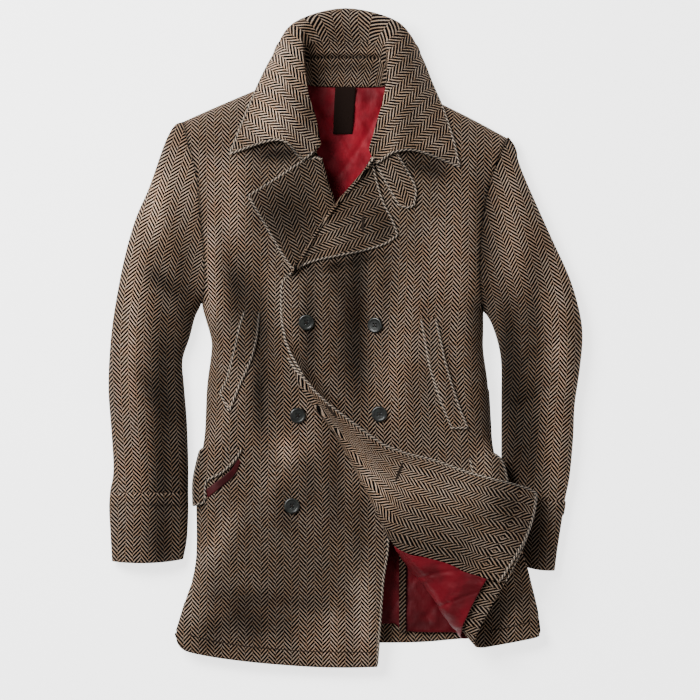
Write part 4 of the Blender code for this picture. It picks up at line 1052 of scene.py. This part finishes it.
def makeFrontUnder():
    roll = curve(frontCut["rollUnder"])
    inset = (roll - setBack(roll))[:-1]
    edge = np.vstack([curve(frontCut["neckUnder"]), inset, curve(frontCut["edgeUnder"])])
    x, y = patch(joined(armholeLines["left"], sideLines["left"]), edge,
                 curve(shoulderLines["left"][::-1]), curve(frontCut["hemUnder"]),
                 bothEnds(frontCut["rows"], 0.3), spaced(frontCut["columns"], 1.5))
    shell("frontUnder", underFront(x, y), cloth["wool"], "tweed", "front_under",
          grain=np.stack([x, y], -1), edge="last",
          edgeEnds=((-5, 515), (44, 2)))
    makeLapel("lapelUnder", "lapel_under", lapelCut["under"], roll)


makeFrontUnder()


def overColumns(left, right):       # close together where the front rolls over
    cells, out = frontCut["cells"], []
    for (lx, ly), (rx, ry) in zip(left, right):
        fold = xAt(foldLine, ly + frontCut["zoneDrop"] * (ry - ly))
        first = np.clip((fold + frontCut["zone"][0] - lx) / (rx - lx), *frontCut["zoneStart"])
        second = np.clip((fold + frontCut["zone"][1] - lx) / (rx - lx),
                         first + frontCut["zoneLeast"], frontCut["zoneEnd"])
        rest = 1 - (1 - spaced(cells[2] + 1)) ** frontCut["crowd"]
        out.append(np.r_[first * spaced(cells[0] + 1)[:-1],
                         first + (second - first) * spaced(cells[1] + 1)[:-1],
                         second + (1 - second) * rest])
    return np.array(out)


def makeFrontOver():
    roll = curve(frontCut["rollOver"])
    inset = (roll + setBack(roll))[:-1]
    left = np.vstack([curve(frontCut["neckOver"]), inset, curve(frontEdgeOver)])
    right = joined(armholeLines["right"], sideLines["right"])
    rows = bothEnds(frontCut["rows"], 0.3)
    columns = overColumns(along(left, rows), along(right, rows))
    x, y = patch(left, right, curve(shoulderLines["right"]), curve(frontCut["hemOver"][::-1]),
                 rows, columns)
    shell("frontOver", overFront(x, y), cloth["wool"], "tweed", "front_over",
          grain=np.stack([x, y], -1), edge="corner",
          edgeEnds=((-80, 550), (62, 26)))
    makeLapel("lapelOver", "lapel_over", lapelCut["over"], roll)


makeFrontOver()
print("fronts and lapels")


# Facing and lining of the corner that is turned back.

turnedCut = {
    "facingEnds": (436.0, 31.0), "liningEnds": (168.0, 44.0), "facingEdge": 64.0,
    "facingCells": (150, 60, 50), "liningCells": (90, 50, 50), "inset": 0.6, "beside": 1.1,
    "past": 12.0, "rollShare": (0.3, 0.7), "full": 2.2,
    "hemSeam": 55.0, "seamDepth": 1.3, "seamWidth": 2.2,
}


def turnedStrip(name, node, finish, thick, ends, left, right, cells, relief=None):
    y = np.linspace(*ends, cells[0] + 1)
    start, end = left(y), right(y)
    least, most = (start + share * (end - start) for share in turnedCut["rollShare"])
    bend = np.clip(xAt(foldLine, y) + frontCut["zone"][0], least, most)
    x = np.hstack([np.linspace(start, bend, cells[1] + 1).T[:, :-1],
                   np.linspace(bend, end, cells[2] + 1).T])
    y = y[:, None] + 0 * x
    if relief is None:      # the seam of the hem's own strip
        seam = (y - turnedCut["hemSeam"]) / turnedCut["seamWidth"]
        lift = -turnedCut["seamDepth"] * np.exp(-seam ** 2)
    else:
        lift = relief(x, y)
    face = movedOut(overFront, x, y, 0 * x - cloth["wool"] - gaps["turned"] - thick - lift)
    strip = (y < turnedCut["hemSeam"]) & (relief is None)
    weave = np.where(strip, 2 * turnedCut["hemSeam"] - y, y)
    return shell(name, face, thick, finish, node, side=-1, grain=np.stack([x, weave], -1),
                 follow=relief is not None,
                 edge="corner" if relief is None else None)


def makeTurnedInside():
    edge = curve(frontEdgeOver)
    turnedStrip("facingOver", "facing_over", "tweed", cloth["wool"], turnedCut["facingEnds"],
                lambda y: xAt(edge, y) + turnedCut["inset"],
                lambda y: np.minimum(xAt(foldLine, y) + turnedCut["past"],
                                     turnedCut["facingEdge"]),
                turnedCut["facingCells"])
    turnedStrip("liningOver", "lining_over", "satin", cloth["lining"], turnedCut["liningEnds"],
                lambda y: turnedCut["facingEdge"] + turnedCut["beside"] + 0 * y,
                lambda y: xAt(foldLine, y) + turnedCut["past"], turnedCut["liningCells"],
                lambda x, y: turnedCut["full"] + quilted(x, y) + puckers(x, y))


makeTurnedInside()
print("turned corner")


# Sleeves and cuffs.

sleeveCut = {
    # fractions of the outer and of the inner seam, ring by ring
    "rings": [(0, 0), (0.035, 0.008), (0.085, 0.02), (0.15, 0.04), (0.23, 0.08), (0.32, 0.15),
              (0.42, 0.25), (0.52, 0.37), (0.62, 0.49), (0.72, 0.62), (0.81, 0.75), (0.9, 0.87),
              (1, 1)],
    "middle": {"left": [(-202, 800), (-222, 730), (-243, 660), (-263, 590), (-277, 520),
                        (-283, 450), (-280, 350), (-275, 246), (-277, 100)],
               "right": [(198, 780), (220, 710), (242, 640), (262, 570), (276, 500),
                         (278, 430), (271, 340), (263, 234), (258, 100)]},
    "count": 165, "cuffCount": 66, "cells": (56, 30), "bowRings": 5, "bowFades": 1.5,
    "cuffBow": 4.0,
}


def sleeveGrain(s, x, y):       # across and along the line down the middle of a sleeve
    line = curve(sleeveCut["middle"][s])[::-1]
    slope = np.interp(y, line[:, 1], np.gradient(line[:, 0], line[:, 1]))
    off = x - xAt(line, y)
    near = y + off * slope / (1 + slope ** 2)
    length = lengths(line)
    return off / np.sqrt(1 + slope ** 2), np.interp(near, line[:, 1], length)


def makeTube(name, node, s, left, right, fractions, bow, weaveWay):
    if s == "right":
        left, right, fractions = right, left, fractions[:, ::-1]
    a, b = along(left, fractions[:, 0]), along(right, fractions[:, 1])
    topCells, underCells = sleeveCut["cells"]
    w = np.r_[(1 - np.cos(pi * spaced(topCells + 1))) / 2,
              (1 + np.cos(pi * spaced(underCells + 1)[1:-1])) / 2]
    plan = a[:, None] * (1 - w[:, None]) + b[:, None] * w[:, None] + bow(w)
    x, y = plan[..., 0], plan[..., 1]
    over = np.arange(len(w)) <= topCells
    z = np.where(over, sleeveTop(s, x, y), sleeveUnder(s, x, y))
    face = np.stack([x, y, z], -1)
    u, v = sleeveGrain(s, x, y)
    last = u[:, topCells:topCells + 1]
    u = np.where(over, u, 2 * last - u)
    u = np.hstack([u, 2 * last - u[:, :1]])
    v = np.hstack([v, v[:, :1]])
    shell(name, face, cloth["wool"], "tweed", node, ring=True,
          grain=np.stack([u, v * weaveWay], -1))


def makeSleeve(s):
    away = np.array([-1.0 if s == "left" else 1.0, 0])
    t = spaced(sleeveCut["count"])
    rings = np.array(sleeveCut["rings"], float)
    at = np.linspace(0, 1, len(rings))
    fractions = np.stack([np.interp(t, at, rings[:, k]) for k in (0, 1)], -1)
    hole = armhole[s] if s == "left" else armhole[s][::-1]

    def armholeBow(w):
        chord = hole[:1] * (1 - w[:, None]) + hole[-1:] * w[:, None]
        first = along(hole, w) - chord
        share = np.clip(1 - t * (len(rings) - 1) / sleeveCut["bowRings"], 0, 1)
        share = share[:, None, None] ** sleeveCut["bowFades"]
        apart = away * gaps["sleeve"] * share ** 3 * smooth(w, 0, 0.1)[None, :, None]
        return first[None] * share + apart

    def cuffBow(w):
        down = np.array([0, -sleeveCut["cuffBow"]]) * (4 * w * (1 - w))[:, None]
        return down[None] * spaced(sleeveCut["cuffCount"])[:, None, None]

    name = s.capitalize()
    makeTube("sleeve" + name, "sleeve_" + s, s, curve(sleeveOuter[s]), curve(sleeveInner[s]),
             fractions, armholeBow, 1)
    rings = np.repeat(spaced(sleeveCut["cuffCount"])[:, None], 2, axis=1)
    makeTube("cuff" + name, "cuff_" + s, s, curve(cuffOuter[s]), curve(cuffInner[s]), rings,
             cuffBow, -1)


makeSleeve("left")
makeSleeve("right")
print("sleeves")


# Throat tab, welts and flaps.

tabCut = {"left": [(42, 708), (58, 678), (75, 648)], "right": [(70, 724), (97, 676), (96, 648)],
          "end": [(75, 648), (87, 644.5), (96, 648)], "rows": 60, "columns": 28, "lean": -28.0}
weltCells, flapCells, flapLiningCells = (90, 22), (56, 44), (50, 12)
weltCuts = {
    "weltLeft": ("welt_left", "frontUnder",
                 [(-141, 500), (-148, 478), (-155, 448), (-160, 427), (-166, 405), (-176, 385)],
                 [(-121, 498), (-125, 459), (-134, 428), (-146, 402), (-156, 378), (-163, 360)]),
    "weltRight": ("welt_right", "frontOver",
                  [(106, 490), (113, 451), (120, 416), (134, 372), (149, 336)],
                  [(126, 490), (134, 455), (141, 424), (157, 372), (171, 336)]),
}
flapCuts = {
    "flapLeft": ("pocket_flap_left", "frontUnder",
                 [(-201, 307), (-205, 300), (-213, 262), (-213, 228)],
                 [(-145, 307), (-155, 291), (-174, 273), (-195, 261), (-197, 238), (-199, 231)]),
    "flapRight": ("pocket_flap_right", "frontOver", [(174, 295), (181, 262), (188, 235)],
                  [(206, 302), (219, 290), (227, 260), (225, 235)]),
}
flapLining = {"lines": ([(-151, 292), (-160, 277), (-180, 261), (-195, 250)],
                        [(-147, 289), (-156, 270), (-174, 254), (-193, 239)]),
              "inside": (1.0, 9.0), "underCorner": 3.2}


def between(left, right, rows, columns, end=None):
    left, right = curve(left), curve(right)
    low = np.array([left[-1], right[-1]]) if end is None else curve(end)
    return patch(left, right, np.array([left[0], right[0]]), low, spaced(rows), spaced(columns))


def makeLaidPieces():
    x, y = between(tabCut["left"], tabCut["right"], tabCut["rows"], tabCut["columns"],
                   tabCut["end"])
    face = laidOn(["frontOver"], x, y, cloth["doubled"])
    turn = radians(tabCut["lean"])
    grain = np.stack([x * cos(turn) - y * sin(turn), x * sin(turn) + y * cos(turn)], -1)
    shell("throatTab", face, cloth["doubled"], "tweed", "throat_tab", grain=grain,
          edge="below")
    for name, (node, carrier, left, right) in weltCuts.items():
        x, y = between(left, right, *weltCells)
        shell(name, laidOn([carrier], x, y, cloth["doubled"]), cloth["doubled"], "tweed", node,
              edge="below")
    x, y = between(*flapLining["lines"], *flapLiningCells)
    face = laidOn(["frontUnder"], x, y, cloth["lining"])
    shell("flapLiningLeft", face, cloth["lining"], "satin", "flap_lining_left")
    for name, (node, carrier, left, right) in flapCuts.items():
        x, y = between(left, right, *flapCells)
        below = [carrier] + ["flapLiningLeft"] * (carrier == "frontUnder")
        z = 0 * x
        for inside in flapLining["inside"]:
            within = np.clip(x, xAt(side["left"], y) + inside, xAt(side["right"], y) - inside)
            ceiling = overHeight(within, y) + flapLining["underCorner"]
            z = np.maximum(z, laidOn(below, within, y, cloth["doubled"], ceiling)[..., 2])
        shell(name, np.stack([x, y, z], -1), cloth["doubled"], "tweed", node,
              edge="below")


makeLaidPieces()
print("welts, flaps and tab")


# Collar.

collarCut = {
    # From its left end round the back to its right end: the row of "heights", then x and y of
    # the neck seam, stand top, crest, three places down the fall and its free edge.
    "sections": [
        (0, -43, 725, -40, 725, -35, 734, -59.5, 713, -82, 736, -108.5, 738, -162, 720),
        (1, -50, 753, -49, 756, -42, 773, -66.5, 773, -86, 770, -108.5, 766, -152, 745),
        (2, -59, 784, -58, 788, -52, 805, -75, 805, -87.5, 804, -103, 801, -135, 787),
        (3, -62, 815, -61, 824, -57, 843, -76, 843, -86, 840, -99, 836, -121, 820),
        (4, -57, 819, -58, 843, -59.5, 872, -76, 871, -85, 868, -93, 862, -103, 855),
        (5, -45.5, 815, -47, 854, -52.5, 896, -64, 904, -72, 904, -79, 896, -82, 882),
        (6, 0, 814, 0, 855, 0, 899, 0, 918, 0, 924, 0, 917, 0, 882),
        (5, 47, 814, 48, 854, 52.5, 896, 65, 906, 75, 904, 83, 893, 87.5, 879),
        (4, 58, 817, 59, 843, 59, 872, 75, 872, 86, 871, 97, 865, 107, 854),
        (3, 63, 810, 62, 823, 59, 840, 76, 840, 89, 837, 103, 832, 121, 820),
        (2, 60, 784, 59, 788, 54, 802, 75, 802, 90, 801, 108.5, 795, 138, 780),
        (1, 51, 753, 49, 756, 44, 764, 66.5, 764, 87.5, 762, 111, 756, 150.5, 742),
        (0, 41, 725, 38, 722, 33, 728, 44, 708, 66.5, 722, 101.5, 724, 160, 702),
    ],
    "heights": [
        (44, 50, 57, 52, 58, 56, 46),
        (43, 50, 60, 60, 58, 54, 46),
        (38, 50, 62, 61, 58, 50, 36),
        (25, 44, 58, 57, 51, 40, 19),
        (14, 36, 50, 48, 42, 27, 8),
        (8, 24, 40, 38, 28, 14, 3),
        (8, 16, 30, 28, 19, 7, 1.5),
    ],
    "count": 170, "steps": 20, "behindNeck": (835.0, 62.0), "seam": 0.5,
    "lean": 49.0, "leanAcross": (44.0, 60.0), "leans": (5.0, 75.0),
    "seamAt": 855.0, "groove": 4.0, "grooveWidth": 3.5, "edgeEnds": (0.02, 0.98),
    "flatter": 0.85,    # share by which the wings' weave keeps to the plan
}


def fallGrain(crest, way, off, length, plan):   # turns towards the throat down each wing
    leaning = smooth(np.abs(length), *collarCut["leans"])
    turn = -np.sign(length) * radians(collarCut["lean"]) * leaning
    axes = np.stack([np.stack([np.cos(turn), np.sin(turn)], -1),
                     np.stack([-np.sin(turn), np.cos(turn)], -1)], 1)
    step = np.einsum("ijk,ik->ij", (axes[1:] + axes[:-1]) / 2, np.diff(crest, axis=0))
    place = np.vstack([np.zeros((1, 2)), np.cumsum(step, axis=0)])
    place = place - place[np.argmin(np.abs(length))]
    beyond = way[:, None] * off[..., None]
    beyond += (plan - crest[:, None] - beyond) * (collarCut["flatter"] * leaning)[:, None, None]
    return place[:, None] + np.einsum("ijk,ilk->ilj", axes, beyond)


def distancesFrom(face):    # along each row, from its first point
    steps = np.linalg.norm(np.diff(face, axis=1), axis=-1)
    return np.insert(np.cumsum(steps, axis=1), 0, 0, axis=1)


def makeCollar():
    rows = np.array(collarCut["sections"], float)
    plan = rows[:, 1:].reshape(len(rows), -1, 2)
    height = np.array([collarCut["heights"][int(row)] for row in rows[:, 0]], float)
    points = np.concatenate([plan, height[..., None]], -1)
    steps = collarCut["steps"]
    grid = np.array([curve(section, steps) for section in points])
    lines = [along(curve(line), spaced(collarCut["count"])) for line in grid.transpose(1, 0, 2)]
    grid = np.stack(lines, 1)
    stand = steps + steps // 2      # columns of the collar that belong to its stand
    x, y = grid[:, stand:, 0], grid[:, stand:, 1]
    lowest = laidOn(["frontUnder", "frontOver", "throatTab"], x, y, cloth["doubled"])[..., 2]
    free, near = collarCut["behindNeck"]
    lowest[(y > free) & (np.abs(x) < near)] = 0
    grid[:, stand:, 2] = np.maximum(grid[:, stand:, 2], lowest)
    seam = np.exp(-((grid[..., 1] - collarCut["seamAt"]) / collarCut["grooveWidth"]) ** 2)
    seam = seam * (1 - smooth(np.abs(grid[..., 0]), *collarCut["leanAcross"]))
    grid[:, :stand, 2] -= (collarCut["groove"] * seam)[:, :stand]
    inside, fall = grid[:, :stand].copy(), grid[:, stand - 1:].copy()
    fall[:, 0] += unit(fall[:, 1] - fall[:, 0]) * collarCut["seam"]
    crest = grid[:, stand - 1]
    length = lengths(crest)
    length = length - np.interp(0, crest[:, 0], length)
    off, plan = [distancesFrom(line[:, ::-1])[:, ::-1] for line in (inside, inside[..., :2])]
    leaning = smooth(np.abs(length), *collarCut["leans"])
    off += (plan - off) * (collarCut["flatter"] * leaning)[:, None]
    back = np.argmin(np.abs(length))    # below its seam the weave runs the other way up
    turns = np.interp(collarCut["seamAt"], inside[back, :, 1], off[back])
    off = np.where(off > turns, 2 * turns - off, off)
    shell("collarStand", inside, cloth["doubled"], "tweed", "collar_stand",
          grain=np.stack([length[:, None] + 0 * off, -off], -1),
          follow=False)
    way = unit(grid[:, 4 * steps, :2] - crest[:, :2])
    shell("collarFall", fall, cloth["doubled"], "tweed", "collar_fall",
          grain=fallGrain(crest[:, :2], way, distancesFrom(fall), length, fall[..., :2]),
          edge="around", edgeEnds=collarCut["edgeEnds"],
          follow=False)


makeCollar()
print("collar")


# Buttons.

buttonShape = {
    # radius and height above its underside
    "section": [(0, 0), (8.5, 0), (10.4, 0.9), (11, 2.1), (10.6, 3.4), (9.6, 4), (8.2, 3.9),
                (7.2, 3.2), (0, 3.0)],
    "sides": 72, "rings": 70, "gap": 0.3, "radius": 11.0, "dish": 3.0,
    "holeRadius": 1.15, "holeAt": 1.955, "holeDepth": 2.2, "holeFrom": 2.5,
    "threadAt": 3.1, "threadRadius": 0.55, "threadPoints": 9,
}
buttonPlaces = [("frontOver", -55, 484), ("frontOver", 42, 480), ("frontUnder", -67, 353.5),
                ("frontOver", 47.6, 355.6), ("frontUnder", -75, 227), ("frontOver", 68, 226)]


def makeButton(number, carrier, x, y):
    b = buttonShape
    turn = 2 * pi * np.arange(b["sides"]) / b["sides"]
    ring = np.stack([np.cos(turn), np.sin(turn)], -1)
    felt = np.vstack([ring[::4], ring[::4] / 2]) * b["radius"]      # what it comes down on
    ceiling = overHeight(x + felt[:, 0], y + felt[:, 1]) + flapLining["underCorner"]
    height = topOf([carrier], x + felt[:, 0], y + felt[:, 1], ceiling)
    slope = felt.T @ (height - height.mean()) / (felt ** 2).sum(0)
    base = (height - felt @ slope).max() + b["gap"]
    tilt = Vector((-slope[0], -slope[1], 1)).normalized()
    tilted = np.array(Vector((0, 0, 1)).rotation_difference(tilt).to_matrix()).T
    profile = along(curve(b["section"], 8), spaced(b["rings"]))[1:-1]
    grid = np.stack([np.outer(profile[:, 0], ring[:, 0]), np.outer(profile[:, 0], ring[:, 1]),
                     np.outer(profile[:, 1], np.ones(len(ring)))], -1)
    onTop = grid[..., 2] > b["holeFrom"]
    for qx, qy in ((1, 1), (1, -1), (-1, 1), (-1, -1)):
        off = np.hypot(grid[..., 0] - qx * b["holeAt"], grid[..., 1] - qy * b["holeAt"])
        wall = smooth(off, b["holeRadius"] * 0.75, b["holeRadius"] * 1.1)
        grid[..., 2] -= onTop * b["holeDepth"] * (1 - wall)
    points = np.vstack([grid.reshape(-1, 3), [[0, 0, 0]], [[0, 0, b["dish"]]]])
    points = points @ tilted + (x, y, base)
    count = b["sides"]
    index = np.arange(grid.shape[0] * count).reshape(-1, count)
    index = np.hstack([index, index[:, :1]])
    faces = quads(index)[:, ::-1].tolist()
    low, high = grid.shape[0] * count, grid.shape[0] * count + 1
    first, last = index[0], index[-1]
    faces += [[low, first[k + 1], first[k]] for k in range(count)]
    faces += [[high, last[k], last[k + 1]] for k in range(count)]
    mesh = bpy.data.meshes.new("button" + str(number))
    mesh.from_pydata(((points - (*middle, 0)) * mm).tolist(), [], faces)
    mesh.materials.append(finishes["horn"])
    mesh.shade_smooth()
    piece = bpy.data.objects.new("button" + str(number), mesh)
    bpy.context.scene.collection.objects.link(piece)
    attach(piece, root)
    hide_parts("button_" + str(number))
    for letter, way in (("a", -1), ("b", 1)):    # thread across its four holes
        corner = np.array([[b["holeAt"], way * b["holeAt"], 0]])
        reach = np.linspace(-1, 1, b["threadPoints"])[:, None] * corner
        reach = (reach + np.array([0, 0, b["threadAt"]])) @ tilted + (x, y, base)
        up = np.broadcast_to(np.array(tilt), reach.shape)
        edgeRope("thread%d%s" % (number, letter), reach, up, radius=b["threadRadius"],
                 finish="thread")


for number, place in enumerate(buttonPlaces, 1):
    makeButton(number, *place)


# Buttonholes: from x, y to x, y, and what each is cut in.
buttonholes = {"buttonholeLower": (80, 287, 70, 262, ["facingOver"]),
               "buttonholeMiddle": (-27, 368, -12, 350, ["facingOver", "frontOver"]),
               "buttonholeLapel": (25, 634, 24, 611, ["lapelOver"])}
holeShape = {"halfWidth": 0.9, "radius": 0.85, "points": 48, "sunk": 0.2}


def makeButtonhole(name, ax, ay, bx, by, carriers):
    turn = np.linspace(0, 2 * pi, holeShape["points"])
    run = np.array([bx - ax, by - ay]) / 2
    beside = np.array([-run[1], run[0]]) / np.hypot(*run) * holeShape["halfWidth"]
    plan = (np.array([(ax + bx) / 2, (ay + by) / 2]) + np.outer(np.cos(turn), run)
            + np.outer(np.sin(turn), beside))
    height = topOf(carriers, plan[:, 0], plan[:, 1]) - holeShape["sunk"]
    up = np.broadcast_to([0.0, 0, 1], (len(plan), 3))
    edgeRope(name, np.column_stack([plan, height]), up, radius=holeShape["radius"],
             finish="thread")


for name, hole in buttonholes.items():
    makeButtonhole(name, *hole)


# Rows of stitching that hold the hems, sunk in the cloth.
hemRows = {"hemRowUnder": ("frontUnder", [(-222, 47), (-180, 37), (-134, 30), (-90, 26),
                                          (-45, 23), (38, 22)]),
           "hemRowOver": ("frontOver", [(198, 52), (225, 56), (262, 66)])}
hemRow = {"radius": 0.6, "sunk": 0.35, "points": 160}


def makeHemRow(name, carrier, line):
    plan = along(curve(line), spaced(hemRow["points"]))
    height = topOf([carrier], plan[:, 0], plan[:, 1]) - hemRow["sunk"]
    up = np.broadcast_to([0.0, 0, 1], (len(plan), 3))
    edgeRope(name, np.column_stack([plan, height]), up, radius=hemRow["radius"], finish="thread")


for name, row in hemRows.items():
    makeHemRow(name, *row)
print("buttons and buttonholes")


# Floor, lights and camera.

studio = {
    "floor": 4.0, "glow": 2.3, "papers": ((0.93, 0.93, 0.93, 1), (0.96, 0.96, 0.96, 1)),
    "camera": (0.0073, -0.0169, 3.0), "width": 0.98, "sky": 0.25,
    # place, size and power of each light
    "lights": {"key": ((-1.5, 1.2, 2.1), 1.5, 185), "fill": ((1.6, -0.6, 1.8), 2.0, 12)},
}


def makeStudio():
    mesh = bpy.data.meshes.new("floor")
    half = studio["floor"] / 2
    corners = [(-half, -half, 0), (half, -half, 0), (half, half, 0), (-half, half, 0)]
    mesh.from_pydata(corners, [], [(0, 1, 2, 3)])
    floor = bpy.data.objects.new("floor", mesh)
    paper = Finish("floor", Roughness=0.95)
    place = paper.node("ShaderNodeTexCoord", output=3)
    shade = paper.node("ShaderNodeTexNoise", None, {"Vector": place, "Scale": 3.0})
    paper.set(Base_Color=paper.mix(shade, *studio["papers"]))
    paper.shader.inputs["Emission Color"].default_value = (1, 1, 1, 1)
    paper.shader.inputs["Emission Strength"].default_value = studio["glow"]
    mesh.materials.append(paper.material)
    bpy.context.scene.collection.objects.link(floor)
    for name, (place, size, power) in studio["lights"].items():
        light = bpy.data.lights.new(name, "AREA")
        light.size, light.energy = size, power
        lamp = bpy.data.objects.new(name, light)
        lamp.location = place
        lamp.rotation_euler = (-Vector(place)).to_track_quat("-Z", "Y").to_euler()
        bpy.context.scene.collection.objects.link(lamp)
    world = bpy.data.worlds.new("studio")
    world.use_nodes = True
    sky = world.node_tree.nodes["Background"]
    sky.inputs["Color"].default_value = (1, 1, 1, 1)
    sky.inputs["Strength"].default_value = studio["sky"]
    bpy.context.scene.world = world
    camera = bpy.data.cameras.new("camera")
    camera.type, camera.ortho_scale = "ORTHO", studio["width"]
    viewer = bpy.data.objects.new("camera", camera)
    viewer.location = studio["camera"]
    bpy.context.scene.collection.objects.link(viewer)
    bpy.context.scene.camera = viewer


makeStudio()
print("floor, lights and camera")
